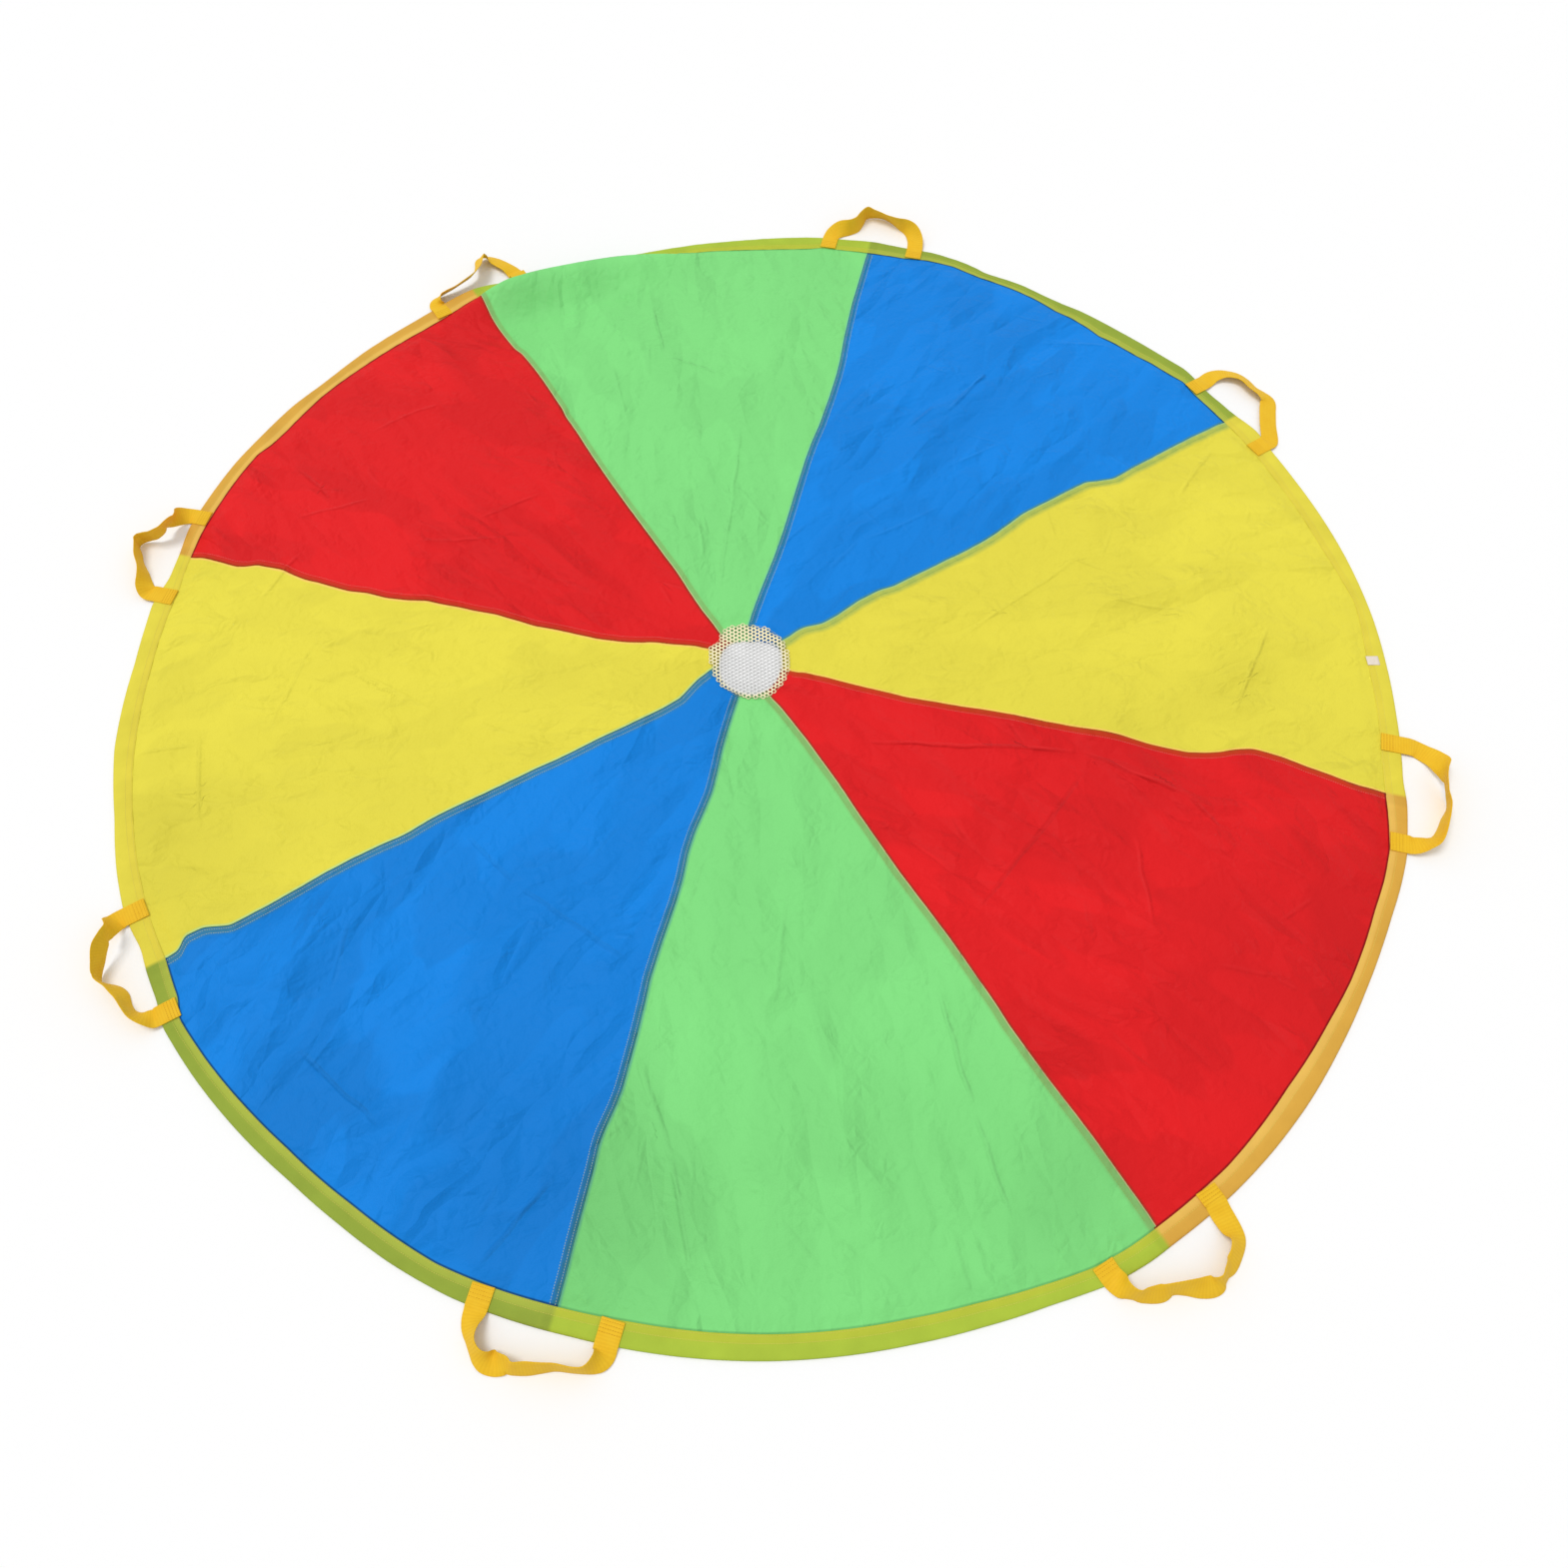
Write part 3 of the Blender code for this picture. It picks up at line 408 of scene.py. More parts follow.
def cloth_height(x, y):
    """Height of the lying cloth: its folds, creases and crumples, settled flat at the hem and the net."""
    radius, angle = np.hypot(x, y), np.arctan2(y, x)
    rim = hem_inner(angle)
    settle = eased((rim - radius) / HEM_SETTLE) * eased((radius - NET_REACH) / NET_SETTLE)
    rise = np.zeros_like(radius)
    for row in SOFT_FOLDS:
        away, _, _ = away_from_line(x, y, row)
        rise += SOFT_FOLD_SHARE * row[5] * MM * np.exp(-(away / (row[4] * MM)) ** 2)
    for row in CREASES:
        away, along, _ = away_from_line(x, y, row)
        taper = np.sqrt(np.clip(np.sin(math.pi * along), 0.0, 1.0)) * (away < CREASE_LIMIT)
        rise += row[5] * MM * np.exp(-away / (row[4] * MM)) * taper
    rise += SWELL[0] * (1.0 + drift(x, y, *SWELL[1:]))
    for height, size, seed in CRUMPLES:
        rise += height * (1.0 - np.abs(drift(x, y, size, seed)))
    rise *= settle
    gather = GATHER_HEIGHT * (GATHER_LEVEL + drift(angle * CANOPY_RADIUS, radius, GATHER_SIZE, 31))
    rise += gather * eased((radius - GATHER_START) / GATHER_REACH)
    rise += edge_lift(angle) * eased((radius - rim + EDGE_LIFT_REACH) / EDGE_LIFT_REACH)
    degrees = np.degrees(angle) % 360.0
    crest = softened([(row[0], row[1]) for row in BULGE_CREST], degrees, 1.2) * MM
    crest_radius = from_table(BULGE_CREST, degrees, 2) * MM
    inner = eased(1.0 - (crest_radius - radius) / BULGE_INNER_REACH)
    outer = eased(1.0 - (radius - crest_radius) / BULGE_OUTER_REACH)
    rise += crest * np.where(radius < crest_radius, inner, outer)
    return CLOTH_LEVEL + rise


def small_creases():
    """Short creases left by packing, spread over the canopy; most of them run roughly outwards."""
    dice = np.random.default_rng(17)
    rows = []
    for _ in range(SMALL_CREASE_COUNT):
        share = math.sqrt(dice.uniform(0.03, 0.88))
        degrees = dice.uniform(0.0, 360.0)
        length = dice.uniform(*SMALL_CREASE_LENGTHS)
        lean = math.radians(degrees + dice.normal(0.0, 38.0))
        x, y = share * math.cos(math.radians(degrees)), share * math.sin(math.radians(degrees))
        ends = []
        for half in (-0.5, 0.5):
            away = half * length / CANOPY_RADIUS
            ex, ey = x + away * math.cos(lean), y + away * math.sin(lean)
            ends += [math.hypot(ex, ey), math.degrees(math.atan2(ey, ex)) % 360.0]
        rows.append((*ends, 5, dice.uniform(0.4, 1.3)))
    return rows


def crease_field(x, y, gore_index, rows):
    """Distance from the nearest crease, with its side as the sign, and how strong the crease is there."""
    side, strength = np.full(x.shape, 1.0), np.zeros(x.shape)
    middle = (gore_index + 0.5) * 360.0 / GORE_COUNT
    wander = 2.2 * MM * drift(x, y, 30 * MM, 91)
    for row in rows:
        if min(abs((row[i] - middle + 180.0) % 360.0 - 180.0) for i in (1, 3)) > 200.0 / GORE_COUNT:
            continue
        away, along, sign = away_from_line(x, y, row)
        nearer = away < np.abs(side)
        ends = np.clip(1.8 * np.sin(math.pi * along), 0.0, 1.0)
        side = np.where(nearer, away * sign, side)
        strength = np.where(nearer, row[5] / 2.4 * ends * eased(1.0 - (away - 5 * MM) / (7 * MM)), strength)
    return side + wander, np.minimum(strength, 1.0)


def painted_cloth_shade(x, y):
    """Share of its colour that the cloth shows, with painted shade: less under the net, as its painted
    shadow, and in the patches where the light falls off.
    """
    radius, angle = np.hypot(x, y), np.arctan2(y, x)
    tone = np.ones_like(radius)
    for share, degrees, reach, lost in SHADES:
        turn, middle = math.radians(degrees), share * CANOPY_RADIUS
        away = np.hypot(x - middle * math.cos(turn), y - middle * math.sin(turn))
        tone *= 1.0 - lost * eased(1.0 - away / reach)
    # Painted shadow of the net on the gores' tips under it
    under_net = eased((around(NET_EDGE, angle) * MM - 3 * MM - radius) / (3 * MM))
    return tone * (1.0 - NET_SHADE * under_net)


def top_gore(seam):
    """The gore that lies over the other along a seam."""
    return seam % GORE_COUNT if seam % GORE_COUNT == CLOSING_SEAM else (seam - 1) % GORE_COUNT


def felled(radius):
    """How much of the seam's lap is there: it starts under the net and ends in the hem."""
    at_hem = eased((LAP_OUTER_END - radius) / (20 * MM))
    return at_hem * eased((radius - LAP_INNER_END) / (14 * MM))


def lap_side(seam):
    """Which way a seam's lap lies from it: 1 counterclockwise, -1 clockwise."""
    return 1 if seam == CLOSING_SEAM else -1


def seam_pucker(radius, seam, away):
    """Small ripples that the stitching draws into the cloth beside a seam."""
    ripple = drift(radius, seam * 1.7 + 0 * radius, PUCKER_REACH, 41)
    return PUCKER_HEIGHT * ripple * np.exp(-away / PUCKER_REACH)


# Materials

def add(tree, kind, inputs=None, **settings):
    """Adds a node with its settings, input values and links."""
    node = tree.nodes.new(kind)
    for name, value in settings.items():
        setattr(node, name, value)
    for key, value in (inputs or {}).items():
        if isinstance(value, bpy.types.NodeSocket):
            tree.links.new(value, node.inputs[key])
        else:
            node.inputs[key].default_value = value
    return node


def new_material(name, roughness, **sockets):
    material = bpy.data.materials.new(name)
    material.use_nodes = True
    shader = material.node_tree.nodes["Principled BSDF"]
    shader.inputs["Roughness"].default_value = roughness
    for socket, value in sockets.items():
        shader.inputs[socket.replace("_", " ")].default_value = value
    return material, material.node_tree, shader


def mixed(tree, share, colour, other, blend="MIX"):
    node = add(tree, "ShaderNodeMix", data_type="RGBA", blend_type=blend)
    for key, value in (("Factor", share), ("A", colour), ("B", other)):
        socket = next(s for s in node.inputs if s.name == key and s.enabled)
        if isinstance(value, bpy.types.NodeSocket):
            tree.links.new(value, socket)
        else:
            socket.default_value = value if key == "Factor" else (*value, 1.0)
    return next(s for s in node.outputs if s.enabled)


def under(tree, value, limit, soft):
    """1 where a value is under its limit, falling to 0 over the soft stretch."""
    stretch = {"Value": value, "From Min": limit, "From Max": limit + soft, "To Min": 1.0, "To Max": 0.0}
    return add(tree, "ShaderNodeMapRange", stretch, interpolation_type="SMOOTHSTEP").outputs[0]


def wandering(tree, place, scale, reach):
    """A place moved about at random, so that the edges of cells laid there bend."""
    bent = add(tree, "ShaderNodeTexNoise", {"Vector": place, "Scale": scale, "Detail": 2.0}).outputs[1]
    moved = add(tree, "ShaderNodeVectorMath", {0: bent, "Scale": reach}, operation="SCALE").outputs[0]
    return add(tree, "ShaderNodeVectorMath", {0: place, 1: moved}, operation="ADD").outputs[0]


def crease_line(tree, side, crease, width, soft, strength):
    """A line along the creases, as strong as they are and soft at its edges."""
    away = add(tree, "ShaderNodeMath", {0: side}, operation="ABSOLUTE").outputs[0]
    line = under(tree, away, width, soft)
    for share in (crease, strength):
        line = add(tree, "ShaderNodeMath", {0: line, 1: share}, operation="MULTIPLY").outputs[0]
    return line


def facets(tree, place, scale, height):
    """Heights of crumpled cloth: tilted facets, one beside the other, that meet in sharp creases."""
    at = wandering(tree, place, 0.7 * scale, 0.9 / scale)
    edge = add(tree, "ShaderNodeTexVoronoi", {"Vector": at, "Scale": scale}, feature="DISTANCE_TO_EDGE",
               voronoi_dimensions="2D").outputs[0]
    wide = {"Vector": place, "Scale": 0.5 * scale, "Detail": 1.0}
    patches = add(tree, "ShaderNodeTexNoise", wide).outputs[0]
    share = add(tree, "ShaderNodeMapRange", {"Value": patches, "From Min": 0.42, "From Max": 0.62}).outputs[0]
    tall = add(tree, "ShaderNodeMath", {0: edge, 1: height}, operation="MULTIPLY").outputs[0]
    return add(tree, "ShaderNodeMath", {0: tall, 1: share}, operation="MULTIPLY").outputs[0]


def cell_shares(tree, place, scale):
    """A chance share for each of the facets that creased cloth falls into, a little soft at their edges."""
    at = wandering(tree, place, 0.8 * scale, 1.1 / scale)
    cells = add(tree, "ShaderNodeTexVoronoi", {"Vector": at, "Scale": scale, "Smoothness": 0.22},
                feature="SMOOTH_F1", voronoi_dimensions="2D").outputs[1]
    return add(tree, "ShaderNodeSeparateColor", {"Color": cells}).outputs[0]


def taffeta(name, hex_colour, rim_shade, crease_shading, facet_shading, facet_share):
    """Polyester taffeta, plain woven and calendered: an even, strong colour with hardly any shine, broken by
    fine creases from packing, darker along its stitched seams where the allowances show through, and with
    painted light and shade on its creases, facets, seam edges and seam bands and beside the hem."""
    shine = {"Sheen_Weight": 0.02, "Sheen_Roughness": 0.5, "Specular_IOR_Level": 0.12}
    material, tree, shader = new_material(name, 0.6, **shine)
    place = add(tree, "ShaderNodeTexCoord").outputs["Object"]
    lap, seam, rim, tone, side, crease = (
        add(tree, "ShaderNodeAttribute", attribute_name=attribute).outputs["Fac"]
        for attribute in ("lap", "seam", "rim", "tone", "crease_side", "crease")
    )
    tint = add(tree, "ShaderNodeAttribute", attribute_name="lap_tint").outputs["Color"]
    line = add(tree, "ShaderNodeAttribute", attribute_name="edge_tint").outputs["Color"]
    base = linear(hex_colour)
    flat = add(tree, "ShaderNodeUVMap", uv_map="flat").outputs[0]
    long_flat = add(tree, "ShaderNodeMapping", {"Vector": flat, "Scale": (1.0, 0.45, 1.0)}).outputs[0]
    # Painted light and shade: each facet of the creased cloth is drawn a little lighter or darker, as if
    # tilted to the light
    long_cells, short_cells = cell_shares(tree, long_flat, 8.0), cell_shares(tree, long_flat, 21.0)
    patches = add(tree, "ShaderNodeMath", {0: long_cells, 1: short_cells}, operation="ADD").outputs[0]
    patches = add(tree, "ShaderNodeMapRange", {"Value": patches, "From Min": 0.4, "From Max": 1.6}).outputs[0]
    shade = mixed(tree, patches, tuple((1.0 - facet_shading) * c for c in base),
                  tuple(min((1.0 + facet_shading) * c, 1.0) for c in base))
    # Painted shade along one side of each crease and a painted highlight along its other side
    beside = add(tree, "ShaderNodeMath", {0: side, 1: 0.9 * MM}, operation="ADD").outputs[0]
    dark = crease_line(tree, beside, crease, 0.3 * MM, 2.6 * MM, crease_shading)
    shade = mixed(tree, dark, shade, tuple(0.3 * c for c in base))
    facing = add(tree, "ShaderNodeMath", {0: side, 1: -2.4 * MM}, operation="ADD").outputs[0]
    light = crease_line(tree, facing, crease, 0.3 * MM, 2.6 * MM, 0.5 * crease_shading)
    shade = mixed(tree, light, shade, tuple(min(1.6 * c + 0.1, 1.0) for c in base))
    blotches = add(tree, "ShaderNodeTexNoise", {"Vector": place, "Scale": 70.0, "Detail": 3.0}).outputs[0]
    spread = {"Value": blotches, "From Min": 0.3, "From Max": 0.6, "To Min": 0.72}
    blotches = add(tree, "ShaderNodeMapRange", spread).outputs[0]
    # The band beside each seam: allowances showing through on the gore on top, painted shade on the gore
    # under it
    band = under(tree, lap, 0.8 * LAP_WIDTH, 0.9 * LAP_WIDTH)
    banded = add(tree, "ShaderNodeMath", {0: band, 1: blotches}, operation="MULTIPLY").outputs[0]
    lapped = mixed(tree, banded, shade, tint)
    # The line at the seam's edge: the folded selvedge, with a painted highlight on the green and yellow gores
    # and painted shade on the blue and red ones
    lined = mixed(tree, under(tree, seam, SEAM_LINE - 0.5 * MM, 1.0 * MM), lapped, line)
    # Painted shade: a dark line on the cloth beside the hem's inner edge, where it tucks under the tape
    at_rim = under(tree, rim, 1.5 * MM, 1.6 * MM)
    at_rim = add(tree, "ShaderNodeMath", {0: at_rim, 1: rim_shade}, operation="MULTIPLY").outputs[0]
    hemmed = mixed(tree, at_rim, lined, tuple(0.20 * c for c in base))
    # Painted shade: the tone attribute darkens the colour under the net and where the light falls off
    toned = add(tree, "ShaderNodeVectorMath", {0: hemmed, "Scale": tone}, operation="SCALE").outputs[0]
    tree.links.new(toned, shader.inputs["Base Color"])
    # Real threads lie 0.2 mm apart, too fine for a render of the whole canopy, so the weave is drawn at
    # 1.5 mm
    warp, weft = (
        add(tree, "ShaderNodeTexWave", {"Vector": flat, "Scale": 105.0}, wave_type="BANDS",
            bands_direction=axis).outputs[1]
        for axis in ("X", "Y")
    )
    weave = add(tree, "ShaderNodeMath", {0: warp, 1: weft}, operation="MULTIPLY").outputs[0]
    fine = add(tree, "ShaderNodeBump", {"Height": weave, "Strength": 0.08, "Distance": 0.2 * MM}).outputs[0]
    large = facets(tree, long_flat, 9.0, facet_share * 26 * MM)
    medium = facets(tree, long_flat, 24.0, facet_share * 9 * MM)
    small = facets(tree, flat, 60.0, 2.2 * MM)
    hills = {"Vector": place, "Scale": 30.0, "Detail": 4.0, "Roughness": 0.6}
    soft = add(tree, "ShaderNodeTexNoise", hills).outputs[0]
    height = add(tree, "ShaderNodeMath", {0: soft, 1: 3 * MM}, operation="MULTIPLY").outputs[0]
    ridge = crease_line(tree, side, crease, 0.1 * MM, 4.5 * MM, CREASE_RISE)
    for other in (large, medium, small, ridge):
        height = add(tree, "ShaderNodeMath", {0: height, 1: other}, operation="ADD").outputs[0]
    raised = {"Height": height, "Strength": 1.0, "Distance": 1.0, "Normal": fine}
    crumpled = add(tree, "ShaderNodeBump", raised).outputs[0]
    tree.links.new(crumpled, shader.inputs["Normal"])
    return material


def ribbon_tape(name):
    """Thin woven nylon tape: a plain weave thin enough for the cloth folded inside it to tint it."""
    material, tree, shader = new_material(name, 0.66, Specular_IOR_Level=0.12)
    tint = add(tree, "ShaderNodeAttribute", attribute_name="tint").outputs["Color"]
    place = add(tree, "ShaderNodeTexCoord").outputs["Object"]
    clouds = add(tree, "ShaderNodeTexNoise", {"Vector": place, "Scale": 26.0, "Detail": 4.0}).outputs[0]
    toned = mixed(tree, clouds, (0.84, 0.84, 0.84), (1.10, 1.10, 1.10))
    colour = mixed(tree, 1.0, tint, toned, "MULTIPLY")
    tree.links.new(colour, shader.inputs["Base Color"])
    # The tape's own ribs are 0.5 mm apart and are drawn at 1.6 mm
    flat = add(tree, "ShaderNodeUVMap", uv_map="flat").outputs[0]
    ribs = add(tree, "ShaderNodeTexWave", {"Vector": flat, "Scale": 98.0}, wave_type="BANDS",
               bands_direction="X").outputs[1]
    grain = add(tree, "ShaderNodeTexNoise", {"Vector": place, "Scale": 160.0, "Detail": 2.0}).outputs[0]
    ribbed = add(tree, "ShaderNodeBump", {"Height": ribs, "Strength": 0.12, "Distance": 0.3 * MM}).outputs[0]
    fuzzy = {"Height": grain, "Strength": 0.35, "Distance": 0.8 * MM, "Normal": ribbed}
    soft = add(tree, "ShaderNodeBump", fuzzy).outputs[0]
    tree.links.new(soft, shader.inputs["Normal"])
    return material


def woven_webbing(name):
    """Polypropylene webbing, flat woven: golden yellow with fine ribs across it, with painted shade in its
    grooves.
    """
    material, tree, shader = new_material(name, 0.66, Sheen_Weight=0.04, Specular_IOR_Level=0.15)
    flat = add(tree, "ShaderNodeUVMap", uv_map="flat").outputs[0]
    # Ribs are drawn at 1.8 mm, about twice their real spacing, so that they show
    ribs = add(tree, "ShaderNodeTexWave", {"Vector": flat, "Scale": 87.0, "Distortion": 0.6},
               wave_type="BANDS", bands_direction="Y").outputs[1]
    cords = add(tree, "ShaderNodeTexWave", {"Vector": flat, "Scale": 58.0}, wave_type="BANDS",
                bands_direction="X").outputs[1]
    mottle = add(tree, "ShaderNodeTexNoise", {"Vector": flat, "Scale": 70.0, "Detail": 4.0}).outputs[0]
    base = mixed(tree, mottle, linear("#EFBA1E"), linear("#F6CA30"))
    # Painted shade in the grooves between the ribs
    grooves = add(tree, "ShaderNodeMath", {0: ribs, 1: 0.12}, operation="MULTIPLY").outputs[0]
    ribbed = mixed(tree, grooves, base, linear("#C48A12"))
    tree.links.new(ribbed, shader.inputs["Base Color"])
    weave = add(tree, "ShaderNodeMath", {0: ribs, 1: cords}, operation="ADD").outputs[0]
    bump = add(tree, "ShaderNodeBump", {"Height": weave, "Strength": 0.2, "Distance": 0.4 * MM}).outputs[0]
    tree.links.new(bump, shader.inputs["Normal"])
    return material


def spun_thread(name, hex_colour, roughness=0.7):
    """Spun polyester sewing thread: matt, a little fuzzy, so its colour varies along it."""
    material, tree, shader = new_material(name, roughness, Specular_IOR_Level=0.25)
    place = add(tree, "ShaderNodeTexCoord").outputs["Object"]
    fuzz = add(tree, "ShaderNodeTexNoise", {"Vector": place, "Scale": 300.0, "Detail": 2.0}).outputs[0]
    base = linear(hex_colour)
    tree.links.new(mixed(tree, fuzz, tuple(0.85 * c for c in base), base), shader.inputs["Base Color"])
    return material


def knitted_net(name):
    """Warp-knitted polyester net: matt white yarn round small open cells, drawn cream at the rim with painted
    reflected light.
    """
    material, tree, shader = new_material(name, 0.65, Specular_IOR_Level=0.25)
    place = add(tree, "ShaderNodeTexCoord").outputs["Object"]
    yarn = add(tree, "ShaderNodeTexNoise", {"Vector": place, "Scale": 420.0, "Detail": 2.0}).outputs[0]
    rim = add(tree, "ShaderNodeAttribute", attribute_name="rim").outputs["Fac"]
    yarns = mixed(tree, yarn, linear("#DBDBDA"), linear("#EBEBEA"))
    # Painted reflected light: at the rim the yarn is drawn cream, as if lit by the yellow cloth round it
    tree.links.new(mixed(tree, rim, yarns, linear("#FFF4C8")), shader.inputs["Base Color"])
    bump = add(tree, "ShaderNodeBump", {"Height": yarn, "Strength": 0.4, "Distance": 0.3 * MM}).outputs[0]
    tree.links.new(bump, shader.inputs["Normal"])
    return material


def studio_floor(name):
    """Matt painted board, white to the camera, and pale where it throws light back on the cloth."""
    material, tree, shader = new_material(name, 0.9, Specular_IOR_Level=0.1)
    rays = add(tree, "ShaderNodeLightPath").outputs
    direct = rays["Is Camera Ray"]
    for ray in ("Is Glossy Ray", "Is Transmission Ray"):
        direct = add(tree, "ShaderNodeMath", {0: direct, 1: rays[ray]}, operation="MAXIMUM").outputs[0]
    tree.links.new(mixed(tree, direct, linear("#E6E6E4"), (1.0, 1.0, 1.0)), shader.inputs["Base Color"])
    return material


# Meshes

def mesh_from(name, points, faces, material):
    mesh = bpy.data.meshes.new(name)
    mesh.from_pydata((np.asarray(points) + MIDDLE).tolist(), [], faces)
    mesh.materials.append(material)
    mesh.polygons.foreach_set("use_smooth", np.ones(len(mesh.polygons), dtype=bool))
    mesh.update()
    thing = bpy.data.objects.new(name, mesh)
    bpy.context.scene.collection.objects.link(thing)
    return thing


def grid_faces(rows, columns, closed=False):
    """Quads of a grid of corners, counterclockwise when its rows run outwards and its columns turn left."""
    width = columns if closed else columns - 1
    row, column = np.meshgrid(np.arange(rows - 1), np.arange(width), indexing="ij")
    after = (column + 1) % columns
    faces = np.stack([row * columns + column, (row + 1) * columns + column, (row + 1) * columns + after,
                      row * columns + after], axis=-1)
    return faces.reshape(-1, 4).tolist()


def set_attribute(mesh, name, kind, values):
    attribute = mesh.attributes.new(name, kind, "POINT")
    field = {"FLOAT": "value", "FLOAT_COLOR": "color"}[kind]
    attribute.data.foreach_set(field, np.asarray(values, dtype=np.float32).ravel())


def set_uv(mesh, flat):
    """Lays a UV map called flat from one pair of metres for each corner point."""
    layer = mesh.uv_layers.new(name="flat")
    corners = np.empty(len(mesh.loops), dtype=np.int32)
    mesh.loops.foreach_get("vertex_index", corners)
    layer.data.foreach_set("uv", np.asarray(flat, dtype=np.float32)[corners].ravel())


def plain_mesh(thing):
    """Makes what a thing's modifiers give its own mesh."""
    made = bpy.data.meshes.new_from_object(thing.evaluated_get(bpy.context.evaluated_depsgraph_get()))
    made.name = thing.name
    thing.modifiers.clear()
    thing.data = made
    return thing


def made_solid(thing, thickness):
    """Gives a sheet its thickness, below it, as a plain mesh."""
    solid = thing.modifiers.new("thickness", "SOLIDIFY")
    solid.thickness = thickness
    solid.offset = -1.0
    return plain_mesh(thing)


# By seam, for the gore on top and then for the one under it: colour and width in millimetres of the line at
# the folded edge, the selvedge with painted light on it: a painted highlight on the green and yellow gores
# and painted shade on the blue and red ones; then colour and width of the band beside it, where the
# allowances show through on the gore on top, and painted shade on the gore under it
SEAM_SIDES = (
    (("#A9CC80", 2.4, "#ABBC59", 10.0), ("#3F8A98", 1.5, "#3E88A4", 3.0)),
    (("#2F7F93", 1.5, "#2A7A9E", 7.0), ("#7FD49B", 2.4, "#83DB88", 1.0)),
    (("#CFC88E", 1.4, "#86BE6E", 7.0), ("#8E2A12", 1.4, "#C2241A", 3.0)),
    (("#A8380F", 1.8, "#C63319", 5.5), ("#FFD86A", 3.0, "#EDD452", 2.5)),
    (("#44726E", 1.8, "#3880A6", 9.0), ("#CBE68E", 2.6, "#D6DA5C", 3.0)),
    (("#3F8A98", 1.5, "#2C7698", 6.5), ("#69B995", 2.4, "#72CB83", 3.0)),
    (("#CFC48A", 1.4, "#86B76A", 8.0), ("#96331D", 1.4, "#BE281C", 2.5)),
    (("#B94A14", 1.8, "#C43A16", 6.0), ("#FBD264", 2.8, "#ECD652", 2.5)),
)
SEAM_LINE = 1.35 * MM
ALL_SMALL_CREASES = tuple(small_creases())


def across_gore(index, radius, across):
    """Angle at a share of the way from a gore's first seam to its second."""
    return seam_angle(index, radius) * (1 - across) + seam_angle(index + 1, radius) * across


def gore(index, materials):
    """One gore: a fine sheet between its two seams, tucked under its neighbour where that one lies on top."""
    colour = GORE_NAMES[index].split("_")[-1]
    across = np.linspace(0.0, 1.0, GORE_COLUMNS)[None, :]
    outwards = np.linspace(0.0, 1.0, GORE_ROWS)[:, None]
    reach = hem_outer(across_gore(index, CANOPY_RADIUS, across)) - 3 * MM
    tip = around(GORE_TIPS, across_gore(index, NET_RADIUS, across), 3.0) * MM
    radius = tip + (reach - tip) * outwards
    start, end = seam_angle(index, radius), seam_angle(index + 1, radius)
    start_on_top, end_on_top = top_gore(index) == index, top_gore(index + 1) == index
    tuck = np.minimum(TUCK_UNDER / radius, 0.2 * (end - start)) * eased((0.895 - radius) / (20 * MM))
    from_angle = start if start_on_top else start - tuck
    to_angle = end if end_on_top else end + tuck
    angle = from_angle + (to_angle - from_angle) * across
    x, y = radius * np.cos(angle), radius * np.sin(angle)
    past_start, past_end = (angle - start) * radius, (end - angle) * radius
    next_seam = (index + 1) % GORE_COUNT
    puckers = seam_pucker(radius, index, np.abs(past_start))
    height = cloth_height(x, y)
    height += puckers + seam_pucker(radius, next_seam, np.abs(past_end))
    lap = np.full(radius.shape, 1.0)
    lap_tint = np.zeros((*radius.shape, 3))
    nearest = np.where(past_start < past_end, index, next_seam)
    edge_tint = np.zeros((*radius.shape, 3))
    seam_away = np.minimum(np.abs(past_start), np.abs(past_end))
    for on_top, past, seam in ((start_on_top, past_start, index), (end_on_top, past_end, index + 1)):
        edge_colour, edge_width, band_colour, band_width = SEAM_SIDES[seam % GORE_COUNT][0 if on_top else 1]
        mine = nearest == seam % GORE_COUNT
        edge_tint[mine] = linear(edge_colour)
        lap_tint[mine] = linear(band_colour)
        seam_away[mine] *= SEAM_LINE / (edge_width * MM)
        lap = np.where(mine, np.maximum(past, 0.0) * LAP_WIDTH / (band_width * MM), lap)
        if on_top:
            height += LAP_RISE * felled(radius) * (1 - eased((past - LAP_WIDTH) / (6 * MM)))
        else:
            height -= 0.25 * MM * felled(radius) * (1 - eased((past + 2 * MM) / (8 * MM)))
    points = np.stack([x, y, height], axis=-1).reshape(-1, 3)
    faces = grid_faces(GORE_ROWS, GORE_COLUMNS)
    thing = mesh_from("cloth_" + GORE_NAMES[index], points, faces, materials[colour])
    crease_side, crease = crease_field(x, y, index, CREASES + ALL_SMALL_CREASES)
    values = {
        "lap": lap, "seam": seam_away, "tone": painted_cloth_shade(x, y),
        "crease_side": crease_side, "crease": crease, "rim": hem_inner(angle) - radius,
    }
    for name, value in values.items():
        set_attribute(thing.data, name, "FLOAT", value)
    for name, tint in (("lap_tint", lap_tint), ("edge_tint", edge_tint)):
        opaque = np.concatenate([tint, np.ones((*radius.shape, 1))], axis=-1)
        set_attribute(thing.data, name, "FLOAT_COLOR", opaque)
    middle = 0.5 * (start + end)
    set_uv(thing.data, np.stack([(angle - middle) * radius + index * 3.7, radius], axis=-1).reshape(-1, 2))
    made_solid(thing, CLOTH_THICKNESS)
    return thing


HEM_TINTS = {
    "blue": ("#97AB3E", "#AFBC48"), "green": ("#B0C740", "#BDC73E"),
    "red": ("#DFAB46", "#EEBF5C"), "yellow": ("#E8DA49", "#E6D548"),
}
# Beside each seam the tape keeps this share of its colour, over this width, at about the hem's middle radius
HEM_LAP_SHADE = 0.93
HEM_LAP_WIDTH = 14 * MM
HEM_MIDDLE = 0.88
